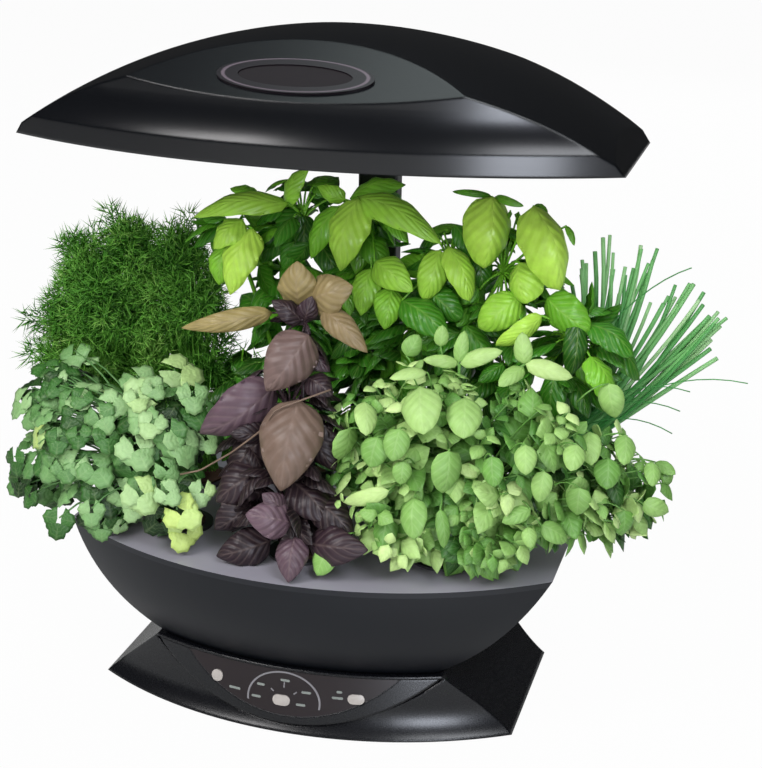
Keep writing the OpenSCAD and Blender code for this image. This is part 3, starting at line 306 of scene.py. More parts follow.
# Leaf cuticle is thin wax over the blade: a broad dull sheen, and lighter veins under it.
leafKinds = {
    "dill_leaf": dict(tones=["#22500f", "#40821f", "#68a63a", "#a0c868"],
                      veins=1, veinLean=0.0, veinShow=0.0, veinColour="#6a9a52",
                      mottleMm=9, mottle=0.14, relief=0.0, rough=0.55),
    "parsley_leaf": dict(tones=["#17350f", "#376a2a", "#6f9c5e", "#a2c58a", "#bdd676"],
                         veins=4, veinLean=0.0, veinShow=0.1, veinColour="#cfe2a8",
                         mottleMm=6, mottle=0.16, relief=0.15, rough=0.45),
    "purple_leaf": dict(tones=["#1a1215", "#382830", "#624d58", "#75624f", "#938453"],
                        veins=6, veinLean=0.35, veinShow=0.16, veinColour="#a08c84",
                        mottleMm=7, mottle=0.26, relief=0.2, rough=0.42),
    "mint_leaf": dict(tones=["#1d4214", "#41792c", "#6c9f48", "#98c06c", "#bfdb8e"],
                      veins=5, veinLean=0.35, veinShow=0.12, veinColour="#d6ecb4",
                      mottleMm=6, mottle=0.2, relief=0.12, rough=0.46),
    "basil_leaf": dict(tones=["#173e10", "#3d831e", "#7cc034", "#bcea58"],
                       veins=6, veinLean=0.45, veinShow=0.14, veinColour="#d8f08a",
                       mottleMm=8, mottle=0.26, relief=0.22, rough=0.33),
    "chive_leaf": dict(tones=["#2b7330", "#47954a", "#79ba70", "#b8dca6"],
                       veins=1, veinLean=0.0, veinShow=0.0, veinColour="#93c781",
                       mottleMm=7, mottle=0.1, relief=0.0, rough=0.36),
}
leafFinishes = {name: leafFinish(name.replace("_", " "), s) for name, s in leafKinds.items()}
print("stage: leaf finishes")


# Shapes
up = np.array([0, 0, 1.0])
level = np.array([1.0, 1.0, 0])


def unit(vectors):
    return vectors / np.maximum(np.linalg.norm(vectors, axis=-1, keepdims=True), 1e-9)


def makePiece(name, points, faces, grid, tone, finish):
    # points in millimetres, faces all with the same number of corners
    mesh = bpy.data.meshes.new(name)
    mesh.vertices.add(len(points))
    mesh.vertices.foreach_set("co", (points * mm).astype(np.float32).ravel())
    count, corners = faces.shape
    mesh.loops.add(count * corners)
    mesh.loops.foreach_set("vertex_index", faces.astype(np.int32).ravel())
    mesh.polygons.add(count)
    mesh.polygons.foreach_set("loop_start", (np.arange(count) * corners).astype(np.int32))
    mesh.polygons.foreach_set("use_smooth", np.ones(count, dtype=bool))
    mesh.update(calc_edges=True)
    blade = mesh.uv_layers.new(name="blade")
    blade.data.foreach_set("uv", grid[faces.ravel()].astype(np.float32).ravel())
    toned = mesh.attributes.new("tone", "FLOAT", "POINT")
    toned.data.foreach_set("value", tone.astype(np.float32))
    mesh.materials.append(finish)
    piece = bpy.data.objects.new(name, mesh)
    bpy.context.scene.collection.objects.link(piece)
    return piece


def sheetFaces(rows, cols, count):
    # quads of closed thin sheets: the upper side, the lower side turned over, and the rim between them
    size = rows * cols
    i = np.arange(size).reshape(rows, cols)
    upper = np.stack([i[:-1, :-1], i[1:, :-1], i[1:, 1:], i[:-1, 1:]], -1).reshape(-1, 4)
    lower = upper[:, ::-1] + size
    ring = np.concatenate([i[0, :-1], i[:-1, -1], i[-1, :0:-1], i[:0:-1, 0]])
    after = np.roll(ring, -1)
    rim = np.stack([ring, after, after + size, ring + size], -1)
    one = np.concatenate([upper, lower, rim])
    return (one[None] + (np.arange(count) * 2 * size)[:, None, None]).reshape(-1, 4)


def bladeOutline(u, kind):
    # half width along a leaf, as a share of the full one: a power of a sine that peaks before the middle
    if kind == "round":
        return np.sin(np.pi * u ** 0.85) ** 0.55 * (1 - 0.12 * u)
    return np.sin(np.pi * u ** 0.72) ** 0.72 * (1 - 0.1 * u)


# a leaf's thickness in millimetres, and the ripples along its edge
bladeBody = {"middle": 0.35, "edge": 0.12, "waves": 3.2}


def leafSheets(base, tip, face, width, arch, cup, twist, rows, cols, kind, ripple, rng):
    # A leaf is base + length times u along it, half width times the outline times v across it, and along its
    # own normal an arch, sin(pi u), less a cup, v squared; ripple waves its edge.
    u = np.linspace(0, 1, rows)[None, :, None]
    v = np.linspace(-1, 1, cols)[None, None, :]
    run = tip - base
    length = np.linalg.norm(run, axis=1)[:, None, None]
    along = unit(run)
    side = unit(np.cross(face, along))
    out = np.cross(along, side)
    side = side * np.cos(twist)[:, None] + out * np.sin(twist)[:, None]
    out = np.cross(along, side)
    half = width[:, None, None] / 2 * np.maximum(bladeOutline(u, kind), 0.03)
    phase = rng.uniform(0, math.tau, (len(base), 1, 1))
    wave = ripple * half * np.sin(bladeBody["waves"] * math.tau * u + phase + 1.5 * np.sign(v)) * v ** 2
    lift = arch[:, None, None] * length * np.sin(np.pi * u) - cup[:, None, None] * half * v ** 2 + wave
    flat = np.sqrt(np.maximum(1 - (0.55 * cup[:, None, None] * np.abs(v)) ** 2, 0.2))
    spot = base[:, None, None, :] + along[:, None, None, :] * (length * u + 0 * v)[..., None]
    spot = (spot + side[:, None, None, :] * (half * v * flat)[..., None]
            + out[:, None, None, :] * lift[..., None])
    body = bladeBody["middle"] * (1 - v ** 2) * np.sin(np.pi * np.clip(u, 0.02, 0.98)) + bladeBody["edge"]
    under = spot - out[:, None, None, :] * (body + 0 * length)[..., None]
    points = np.stack([spot, under], 1).reshape(-1, 3)
    grid = np.stack(np.broadcast_arrays(u, v), -1)[0].reshape(-1, 2)
    grid = np.tile(grid, (2 * len(base), 1))
    return points, sheetFaces(rows, cols, len(base)), grid


def stemTubes(paths, radius, sides):
    # tubes round paths (count, steps, 3): even rings of points across each path, with quads over both ends
    count, steps, _ = paths.shape
    ahead = unit(np.gradient(paths, axis=1))
    across = unit(np.cross(ahead, np.array([0.31, 0.9, 0.17])))
    other = np.cross(ahead, across)
    angle = np.arange(sides) * math.tau / sides
    angle = angle[None, None, :, None]
    ring = across[:, :, None] * np.cos(angle) + other[:, :, None] * np.sin(angle)
    points = (paths[:, :, None] + ring * radius[:, :, None, None]).reshape(-1, 3)
    i = np.arange(steps * sides).reshape(steps, sides)
    j = np.roll(i, -1, axis=1)
    wall = np.stack([i[:-1], j[:-1], j[1:], i[1:]], -1).reshape(-1, 4)
    fan = np.arange(1, sides - 2, 2)[:, None] + np.array([[0, 1, 2]])
    fan = np.concatenate([np.zeros((len(fan), 1), int), fan], 1)
    ends = np.concatenate([i[0][fan[:, ::-1]], i[-1][fan]])
    one = np.concatenate([wall, ends])
    faces = (one[None] + (np.arange(count) * steps * sides)[:, None, None]).reshape(-1, 4)
    share = np.linspace(0, 1, steps)[:, None] + np.zeros((1, sides))
    grid = np.stack([share, np.full_like(share, 0.5)], -1).reshape(-1, 2)
    return points, faces, np.tile(grid, (count, 1))


def stemPart(paths, thick, thin, tone, sides=6):
    # tubes that taper evenly from the thick to the thin radius, all of one tone
    count, steps, _ = paths.shape
    points, faces, grid = stemTubes(paths, np.linspace(thick, thin, steps)[None] * np.ones((count, 1)), sides)
    return points, faces, grid, np.full(len(points), tone)


def bend(start, end, lift, steps, outward=0.0):
    # curved paths from start to end: a parabola that bulges by lift upwards and by outward away from the pod
    t = np.linspace(0, 1, steps)[None, :, None]
    hump = 4 * t * (1 - t)
    away = unit((end - start) * level)[:, None]
    return start[:, None] * (1 - t) + end[:, None] * t + hump * (up * lift - away * outward)


def joinParts(parts):
    # several (points, faces, grid, tone) of one piece in one
    points, faces, grids, tones, base = [], [], [], [], 0
    for p, f, g, t in parts:
        points.append(p)
        faces.append(f + base)
        grids.append(g)
        tones.append(t)
        base += len(p)
    return np.concatenate(points), np.concatenate(faces), np.concatenate(grids), np.concatenate(tones)


def settle(piece, nodeName):
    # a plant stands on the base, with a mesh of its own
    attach(piece, "base")
    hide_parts(nodeName)
    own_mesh(piece)


def growPiece(name, parts, slotName, nodeName):
    points, faces, grid, tone = joinParts(parts)
    piece = makePiece(name, points, faces, grid, np.clip(tone, 0, 1), leafFinishes[slotName])
    settle(piece, nodeName)
    print("stage:", name, len(faces), "faces")


def perSheet(values, rows, cols):
    return np.repeat(values, 2 * rows * cols)


def crownSpots(balls, count, rng, inner):
    # points near the skin of a crown made of balls, from the inner share of a radius outwards, the way out
    # at each, and how far out it is, from 0 to 1. None lies well inside another ball, so more are drawn
    # than kept.
    balls = np.array(balls, float)
    share = balls[:, 3] ** 2
    drawn = count * 6
    pick = rng.choice(len(balls), size=drawn, p=share / share.sum())
    way = unit(rng.normal(size=(drawn, 3)))
    depth = rng.uniform(inner, 1.0, drawn)
    spot = balls[pick, :3] + way * (balls[pick, 3] * depth)[:, None]
    gap = np.linalg.norm(spot[:, None] - balls[None, :, :3], axis=2) / balls[None, :, 3]
    gap[np.arange(len(pick)), pick] = 1.0
    keep = np.flatnonzero(gap.min(1) > 0.85)[:count]
    return spot[keep], way[keep], (depth[keep] - inner) / (1 - inner)


podTop = 134.0
pods = {"dill": (-116, 35), "parsley": (-98, -50), "purple": (0, -72), "mint": (98, -50),
        "green": (-42, 64), "large": (42, 64), "chives": (116, 35)}
toCamera = np.array([0.25, -0.91, 0.33])


def podStarts(plant, spread, count, rng):
    # stems come out of the pod's opening, scattered about its middle
    return np.array([*pods[plant], podTop]) + rng.normal(0, spread, (count, 3)) * level


# Dill: feathery plumes of thread-like leaflets on thin stems; the inner ones are darker, a painted shade
dill = {"seed": 3, "plumes": 430, "plumeMm": (34, 54), "branches": 9, "threads": 5,
        "threadMm": 12, "threadWide": 1.1,
        "loose": 0.12, "looseMm": (6, 17),  # the share of plumes that stand out of the mass, and by how much
        "balls": [(-190, 45, 262, 50), (-222, 40, 250, 30), (-130, 45, 258, 38), (-178, 50, 298, 28),
                  (-142, 45, 205, 36), (-222, 42, 212, 30), (-185, 45, 208, 34), (-214, 45, 292, 24),
                  (-142, 48, 298, 26), (-112, 45, 222, 26)]}


def growDill(s):
    # a plume's branches leave its stem in pairs and shorten to its tip; threads leave a branch the same way
    rng = np.random.default_rng(s["seed"])
    tip, way, depth = crownSpots(s["balls"], s["plumes"], rng, 0.72)
    way = unit(way + 0.35 * up)
    length = rng.uniform(*s["plumeMm"], len(tip))
    tip = tip + way * (rng.uniform(*s["looseMm"], len(tip))
                       * (rng.uniform(0, 1, len(tip)) < s["loose"]))[:, None]
    foot = tip - way * length[:, None]
    sideways = unit(np.cross(way, unit(rng.normal(size=way.shape))))
    share = np.linspace(0.12, 0.97, s["branches"])
    hand = np.array([-1.0, 1.0])
    along = foot[:, None] + way[:, None] * (length[:, None] * share)[..., None]
    spin = (np.arange(s["branches"]) * 1.1)[None, :, None]
    across = sideways[:, None] * np.cos(spin) + np.cross(way, sideways)[:, None] * np.sin(spin)
    branchWay = unit(way[:, None, None] * 0.75 + across[:, :, None] * hand[None, None, :, None])
    branchLen = (length[:, None] * 0.42 * (1 - share) ** 0.75 + 4)[..., None]
    t = np.linspace(0.25, 1.0, s["threads"])
    root = along[:, :, None, None] + branchWay[:, :, :, None] * (branchLen[..., None] * t)[..., None]
    threadWay = unit(branchWay[:, :, :, None] + rng.normal(size=root.shape) * 0.55).reshape(-1, 3)
    threadLen = (s["threadMm"] * rng.uniform(0.6, 1.1, root.shape[:-1])).reshape(-1)
    root = root.reshape(-1, 3)
    # a thread is a thin spike on a triangle
    wide = unit(np.cross(threadWay, rng.normal(size=threadWay.shape))) * s["threadWide"] / 2
    third = 0.87 * np.cross(threadWay, wide)
    end = root + threadWay * threadLen[:, None]
    points = np.stack([root + wide, root - 0.5 * wide + third,
                       root - 0.5 * wide - third, end], 1).reshape(-1, 3)
    one = np.array([[0, 1, 3], [1, 2, 3], [2, 0, 3], [0, 2, 1]])
    faces = (one[None] + (np.arange(len(root)) * 4)[:, None, None]).reshape(-1, 3)
    # painted shade: plumes deeper in the crown are darker, with a random tone on top
    plumeShadeAndTone = depth * 0.35 + rng.uniform(0.0, 0.22, len(tip))
    bright = plumeShadeAndTone[:, None, None, None] + 0.28 * share[None, :, None, None]
    bright = np.broadcast_to(bright, (len(tip), s["branches"], 2, s["threads"])).reshape(-1)
    tone = np.repeat(np.clip(bright + rng.normal(0, 0.08, len(root)), 0, 1), 4)
    leaflets = makePiece("dill_fronds", points, faces, np.zeros((len(points), 2)), tone,
                         leafFinishes["dill_leaf"])
    paths = bend(podStarts("dill", 4, len(tip), rng), foot, 6.0, 7)
    paths = np.concatenate([paths, (foot + way * length[:, None] * 0.5)[:, None], tip[:, None]], 1)
    stems = makePiece("dill_stems", *stemPart(paths, 0.8, 0.25, 0.6), leafFinishes["dill_leaf"])
    for piece in (leaflets, stems):
        settle(piece, "plant_dill")
    print("stage: dill", len(faces), "faces")


growDill(dill)

# Parsley: long stalks, each with three fan leaflets cut into toothed lobes. A placed row is a leaf's
# middle, reach and tone. The fan is half the angle that a leaflet spreads over, in radians.
parsley = {"seed": 11, "leaves": 155, "reachMm": 12.5, "fan": 1.4, "rows": 4, "cols": 19,
           "balls": [(-162, -55, 182, 45), (-206, -45, 153, 31), (-106, -62, 200, 39), (-203, -30, 202, 31),
                     (-93, -86, 160, 29), (-150, -76, 152, 28)],
           "placed": [
    [-97, -44, 240, 16, 0.85], [-121, -64, 237, 14, 0.65], [-114, -86, 231, 10, 0.8],
    [-100, -97, 218, 11, 0.75], [-137, -76, 221, 12, 0.7], [-108, -102, 199, 15, 0.65],
    [-78, -91, 202, 15, 0.6], [-68, -73, 201, 10, 0.6], [-80, -68, 230, 12, 0.6],
    [-143, -84, 212, 12, 0.45], [-105, -77, 237, 9, 0.6], [-142, -96, 178, 14, 0.5],
    [-165, -101, 177, 10, 0.45], [-180, -96, 173, 11, 0.4], [-205, -75, 166, 11, 0.35],
    [-100, -114, 171, 14, 0.8], [-126, -90, 159, 12, 0.65], [-108, -114, 159, 9, 0.7],
    [-72, -109, 160, 14, 0.95], [-76, -101, 140, 13, 0.95], [-82, -111, 174, 10, 0.7],
    [-65, -93, 169, 10, 0.75], [-173, -100, 134, 12, 0.2], [-210, -73, 139, 9, 0.2],
    [-220, -72, 165, 11, 0.15], [-197, -16, 232, 13, 0.5], [-186, -12, 230, 7, 0.75],
    [-193, -54, 220, 9, 0.25], [-204, -62, 203, 9, 0.35], [-163, -76, 223, 9, 0.3],
    [-143, -107, 149, 10, 0.5], [-87, -98, 186, 10, 0.5], [-156, -96, 202, 10, 0.3],
    [-171, -98, 197, 10, 0.3], [-131, -88, 133, 6, 0.7]]}


def fanSheets(base, way, face, size, s, rng):
    # A leaflet is a fan round its foot, with r outwards and the angle a across: three lobes, 0.66 plus 0.34
    # times the root of |cos(1.85 a)|, with small teeth. It sags towards its edge by r squared.
    r = np.linspace(0.0, 1, s["rows"])[None, :, None]
    a = np.linspace(-s["fan"], s["fan"], s["cols"])[None, None, :]
    reach = (0.66 + 0.34 * np.abs(np.cos(1.85 * a)) ** 0.5) * (1 + 0.05 * np.cos(13 * a)) * (1 - 0.1 * a ** 2)
    side = unit(np.cross(face, way))
    out = np.cross(way, side)
    size = size[:, None, None]
    x = size * reach * r * np.cos(a)
    y = size * reach * r * np.sin(a)
    phase = rng.uniform(0, math.tau, (len(base), 1, 1))
    z = size * (-0.16 * r ** 2 * (0.5 + a ** 2 * 0.3) + 0.05 * r ** 2 * np.sin(3.7 * a + phase))
    spot = base[:, None, None] + way[:, None, None] * x[..., None] + side[:, None, None] * y[..., None]
    spot = spot + out[:, None, None] * z[..., None]
    under = spot - out[:, None, None] * 0.3
    points = np.stack([spot, under], 1).reshape(-1, 3)
    grid = np.stack(np.broadcast_arrays(r, a / s["fan"]), -1)[0].reshape(-1, 2)
    return points, sheetFaces(s["rows"], s["cols"], len(base)), np.tile(grid, (2 * len(base), 1))


def growParsley(s):
    rng = np.random.default_rng(s["seed"])
    spot, way, depth = crownSpots(s["balls"], s["leaves"], rng, 0.7)
    table = np.array(s["placed"], float)
    middle = np.array(s["balls"], float)[:, :3].mean(0)
    spot = np.concatenate([table[:, :3], spot])
    way = np.concatenate([unit(table[:, :3] - middle + toCamera * 60), way])
    n = len(spot)
    drawn = n - len(table)
    reach = np.concatenate([table[:, 3] * 1.08, s["reachMm"] * rng.uniform(0.75, 1.2, drawn)])
    # painted light and shade: leaves deeper in the crown are darker and leaves facing up lighter, with a
    # random tone on top
    drawnShadeAndTone = 0.02 + 0.5 * depth + rng.normal(0, 0.18, drawn) + 0.1 * way[len(table):, 2]
    leafTone = np.clip(np.concatenate([table[:, 4], drawnShadeAndTone]), 0, 1)
    face = unit(way + 0.6 * toCamera + 0.3 * up + rng.normal(0, 0.25, (n, 3)))
    drop = unit(way * (level + 0.2 * up) - 0.5 * up + rng.normal(0, 0.35, (n, 3)))
    ahead = unit(drop - face * (drop * face).sum(1, keepdims=True))
    side = np.cross(face, ahead)
    parts = []
    # the middle leaflet and the two beside it: turn, stalk and size
    for turn, stalk, scale in ((0.0, 0.25, 1.0), (1.55, 0.1, 0.82), (-1.55, 0.1, 0.82)):
        heading = unit(ahead * math.cos(turn) + side * math.sin(turn))
        foot = spot + heading * (reach * stalk)[:, None] - ahead * (reach * 0.35)[:, None]
        sheet = fanSheets(foot, heading, face, reach * scale, s, rng)
        parts.append((*sheet, perSheet(leafTone + rng.normal(0, 0.05, n), s["rows"], s["cols"])))
    paths = bend(podStarts("parsley", 5, n, rng), spot - ahead * (reach * 0.4)[:, None], 20.0, 8)
    parts.append(stemPart(paths, 1.1, 0.6, 0.35))
    growPiece("parsley_plant", parts, "parsley_leaf", "plant_parsley")


growParsley(parsley)

# Mint: upright shoots with pairs of rounded leaves, each pair turned a quarter from the last. A placed row
# is a leaf's base and tip, its width and its tone.
mint = {"seed": 23, "shoots": 195, "pairSizes": (0.55, 0.9, 1.0, 0.95), "leafMm": 20, "rows": 5, "cols": 5,
        "wideRows": 11, "wideCols": 9, "stalksFrom": (105, -50, 190),
        "balls": [(82, -60, 222, 46), (149, -55, 215, 48), (201, -20, 192, 33), (226, 0, 174, 22),
                  (76, -84, 168, 30), (143, -76, 168, 28), (110, -50, 180, 46), (46, -62, 226, 26),
                  (46, -74, 180, 26), (196, -40, 176, 30), (114, -44, 214, 28)],
        "placed": [
    [88, -88, 264, 97, -111, 240, 29, 0.8], [116, -77, 256, 121, -100, 236, 26, 0.75],
    [51, -90, 250, 58, -110, 234, 17, 0.85], [40, -88, 229, 32, -85, 204, 22, 0.65],
    [65, -108, 233, 62, -113, 213, 21, 0.55], [80, -108, 241, 78, -117, 221, 19, 0.6],
    [84, -112, 220, 83, -114, 204, 14, 0.6], [112, -102, 227, 109, -103, 197, 23, 0.6],
    [162, -101, 237, 165, -110, 220, 16, 0.75], [175, -100, 220, 173, -103, 199, 15, 0.7],
    [141, -105, 228, 145, -111, 209, 16, 0.5], [192, -79, 233, 191, -92, 219, 16, 0.75],
    [195, -75, 201, 194, -72, 180, 18, 0.6], [73, -105, 195, 40, -100, 180, 12, 0.95],
    [90, -105, 192, 94, -118, 168, 21, 0.6], [107, -100, 184, 111, -102, 157, 11, 0.55],
    [167, -97, 191, 150, -106, 183, 12, 0.6], [173, -87, 176, 190, -80, 164, 16, 0.6],
    [166, -99, 179, 170, -105, 167, 11, 0.7], [204, -33, 261, 210, -30, 236, 19, 0.7],
    [195, -48, 231, 200, -60, 212, 17, 0.75], [217, -27, 224, 220, -48, 210, 16, 0.65],
    [209, -48, 214, 211, -60, 196, 20, 0.5], [236, -25, 206, 239, -38, 193, 13, 0.65],
    [236, 0, 196, 251, -6, 191, 11, 0.6], [233, -33, 178, 250, -24, 170, 15, 0.7],
    [227, -23, 165, 235, -18, 148, 11, 0.75], [222, -45, 176, 221, -42, 156, 17, 0.5],
    [147, -37, 270, 144, -33, 291, 14, 0.8], [148, -37, 270, 180, -34, 263, 14, 0.95],
    [147, -38, 268, 134, -56, 259, 13, 0.75], [104, -42, 267, 132, -38, 278, 13, 0.85],
    [103, -42, 267, 80, -50, 270, 10, 0.8], [103, -42, 268, 105, -36, 289, 11, 0.7],
    [89, -75, 270, 66, -84, 266, 11, 0.85], [68, -49, 271, 75, -43, 285, 15, 0.6],
    [90, -42, 278, 90, -38, 292, 11, 0.7], [33, -108, 149, 26, -114, 130, 19, 0.6]]}


def growMint(s):
    rng = np.random.default_rng(s["seed"])
    rows, cols = s["rows"], s["cols"]
    end, way, depth = crownSpots(s["balls"], s["shoots"], rng, 0.8)
    n = len(end)
    table = np.array(s["placed"], float)
    paths = bend(podStarts("mint", 6, n, rng), end, 8.0, 10, outward=6.0)
    parts = [stemPart(paths, 1.2, 0.5, 0.4)]
    ahead = unit(paths[:, -1] - paths[:, -3])
    first = unit(np.cross(ahead, rng.normal(size=(n, 3))))
    second = np.cross(ahead, first)
    # painted shade: shoots deeper in the crown are darker, with a random tone on top
    shootShadeAndTone = rng.uniform(0.1, 0.7, n) + 0.3 * depth
    shootSize = s["leafMm"] * rng.uniform(0.7, 1.25, n)
    for k, pairSize in enumerate(s["pairSizes"]):
        # pairs follow each other down the shoot; lower ones are darker, a painted shade
        back = k * rng.uniform(9, 14, n)[:, None]
        node = end - ahead * back - 0.03 * up * back ** 1.5
        grown = shootSize * pairSize * rng.uniform(0.85, 1.15, n)
        for sign in (-1, 1):
            heading = (first if k % 2 else second) * sign
            heading = unit(heading + ahead * 0.3 + rng.normal(0, 0.25, (n, 3)))
            tip = node + heading * grown[:, None] - 0.15 * up * grown[:, None]
            face = unit(ahead + 0.5 * toCamera + 0.35 * up + rng.normal(0, 0.3, (n, 3)))
            sheet = leafSheets(node, tip, face, grown * rng.uniform(0.75, 0.95, n), np.full(n, 0.1),
                               rng.uniform(0.1, 0.4, n), rng.normal(0, 0.25, n),
                               rows, cols, "pointed", 0.1, rng)
            tone = shootShadeAndTone + 0.16 - 0.12 * k + rng.normal(0, 0.07, n)
            parts.append((*sheet, perSheet(tone, rows, cols)))
    m = len(table)
    base, rows, cols = table[:, :3], s["wideRows"], s["wideCols"]
    face = unit(toCamera + rng.normal(0, 0.25, (m, 3)))
    sheet = leafSheets(base, table[:, 3:6], face, table[:, 6], np.full(m, 0.14), np.full(m, 0.35),
                       rng.normal(0, 0.15, m), rows, cols, "round", 0.05, rng)
    parts.append((*sheet, perSheet(table[:, 7], rows, cols)))
    # the stalk of a placed leaf is the last fifth of the way from the middle of the plant
    parts.append(stemPart(bend(base * 0.8 + np.array(s["stalksFrom"]) * 0.2, base, 3.0, 5), 0.6, 0.6, 0.45))
    growPiece("mint_plant", parts, "mint_leaf", "plant_mint")


growMint(mint)

# Basils: each row is a leaf's base and tip in millimetres, its width, its tone from dark to light, and its
# cup where it isn't the usual one
greenBasil = {"seed": 31, "rows": 15, "cols": 11, "fill": 340, "fillMm": 34, "fillShadeAndLight": (0.08, 0.6),
              "outline": "pointed",
              "balls": [(-35, 38, 338, 36), (-87, 32, 326, 26), (15, 44, 340, 28), (-45, 48, 270, 38),
                        (-46, 54, 210, 39), (-42, 56, 165, 30), (8, 48, 285, 28), (8, 50, 235, 28),
                        (5, 52, 190, 26), (-86, 40, 200, 24), (-76, 30, 172, 24)],
              "leaves": [
    [-42, 25, 352, -109, 10, 340, 19, 0.85], [-46, 30, 350, -28, 30, 379, 17, 0.75],
    [-70, 40, 351, -94, 45, 355, 12, 0.6], [-85, 40, 331, -120, 35, 310, 21, 0.25],
    [-74, 18, 339, -92, 5, 319, 22, 0.9], [-66, 15, 334, -78, 0, 287, 29, 1],
    [-90, 22, 316, -92, 15, 289, 21, 0.7], [-36, 35, 344, -55, 35, 318, 22, 0.2],
    [-33, 38, 341, -33, 36, 308, 16, 0.1], [12, 20, 361, 4, 5, 311, 31, 0.9],
    [-4, 25, 353, -23, 20, 314, 20, 0.6], [10, 25, 361, 76, 10, 336, 23, 0.8],
    [0, 40, 356, 40, 45, 368, 22, 0.65], [-2, 35, 356, -23, 35, 364, 13, 0.75],
    [12, 30, 332, 35, 20, 311, 22, 0.45], [-47, 45, 327, -68, 40, 302, 19, 0.3],
    [-26, 45, 322, -7, 40, 290, 18, 0.15], [28, 10, 319, 60, -5, 304, 23, 0.8],
    [25, 12, 313, 21, 0, 281, 21, 0.75], [42, 5, 302, 41, -8, 275, 21, 0.7]]}
largeBasil = {"seed": 37, "rows": 17, "cols": 13, "fill": 340, "fillMm": 34, "fillShadeAndLight": (0.08, 0.6),
              "outline": "round",
              "balls": [(78, 30, 318, 28), (116, 34, 312, 36), (172, 20, 270, 34), (50, 46, 262, 38),
                        (45, 52, 205, 36), (45, 56, 163, 28), (122, 22, 236, 27), (92, 32, 262, 28),
                        (163, 16, 238, 25)],
              "leaves": [
    [109, 20, 370, 107, 10, 321, 39, 1, 1.0], [140, 10, 368, 163, -2, 314, 38, 1, 1.0],
    [132, 8, 328, 141, -5, 303, 32, 0.9, 0.9], [106, 30, 368, 78, 30, 369, 5, 0.4],
    [110, 25, 369, 131, 20, 365, 6, 0.5], [139, 15, 367, 149, 15, 363, 7, 0.5],
    [163, 10, 356, 170, 5, 344, 5, 0.5], [97, 30, 327, 104, 25, 301, 18, 0.2],
    [74, 15, 330, 66, 5, 295, 21, 0.85], [80, 15, 333, 99, 5, 298, 21, 0.9],
    [51, 0, 295, 87, -12, 276, 25, 0.35], [134, 5, 304, 108, -5, 282, 25, 0.8],
    [151, 0, 294, 122, -12, 273, 15, 0.95], [152, 10, 304, 184, 5, 285, 26, 0.55],
    [175, 5, 292, 173, 0, 252, 17, 0.1], [182, 10, 288, 215, 5, 270, 22, 0.3],
    [186, 0, 268, 203, -5, 238, 25, 0.65], [164, -5, 256, 164, -12, 223, 19, 0.3],
    [68, 12, 301, 93, 8, 283, 21, 0.3], [117, 20, 296, 128, 15, 269, 21, 0.2],
    [190, 20, 274, 219, 20, 248, 21, 0.2], [81, 30, 345, 93, 30, 319, 14, 0.3]]}
purpleBasil = {"seed": 41, "sprigs": [[[-80, -95, 183], [-65, -95, 188], [-42, -95, 204], [-20, -95, 223],
                                      [-11, -92, 238], [24, -80, 252]]],
               "rows": 15, "cols": 11, "fill": 110, "fillMm": 30, "fillShadeAndLight": (0.0, 0.2),
               "outline": "pointed",
               "balls": [(-2, -56, 288, 28), (-10, -64, 228, 34), (-5, -80, 168, 34), (-34, -70, 172, 26),
                         (-42, -60, 196, 20)],
               "leaves": [
    [-8, -50, 298, -8, -55, 332, 29, 0.95], [-1, -50, 303, 32, -58, 319, 29, 0.9],
    [-26, -55, 294, -85, -75, 283, 15, 1], [10, -55, 300, 46, -68, 277, 18, 0.85],
    [5, -70, 286, -19, -88, 249, 34, 0.62], [-19, -70, 247, -69, -85, 211, 34, 0.45],
    [2, -82, 243, -2, -108, 186, 42, 0.68], [5, -72, 256, 24, -75, 246, 18, 0.15],
    [-4, -58, 291, -24, -62, 305, 16, 0.12], [-3, -56, 290, 4, -60, 310, 15, 0.2],
    [6, -108, 164, -22, -122, 172, 26, 0.5], [8, -108, 154, 9, -124, 127, 22, 0.42],
    [15, -100, 146, 61, -112, 153, 27, 0.18], [0, -104, 169, -13, -114, 185, 16, 0.4],
    [-14, -95, 142, -49, -108, 131, 26, 0.1], [-25, -80, 189, -54, -95, 166, 29, 0.12],
    [-2, -85, 184, 29, -98, 163, 29, 0.1], [-29, -70, 206, -51, -78, 176, 25, 0.08],
    [6, -70, 225, 27, -78, 193, 25, 0.1], [-32, -85, 166, -54, -98, 146, 25, 0.08],
    [16, -88, 174, 46, -98, 156, 25, 0.06], [-4, -62, 272, 19, -66, 260, 18, 0.25]]}


basilForm = {"cup": 0.45, "fillRows": 9, "fillCols": 7, "stemSteps": 10, "stalkSteps": 6, "sprigSteps": 24,
             # how fill leaves keep clear of the bright ones
             "brightTone": 0.5, "clearMm": 13, "behindMm": -7}


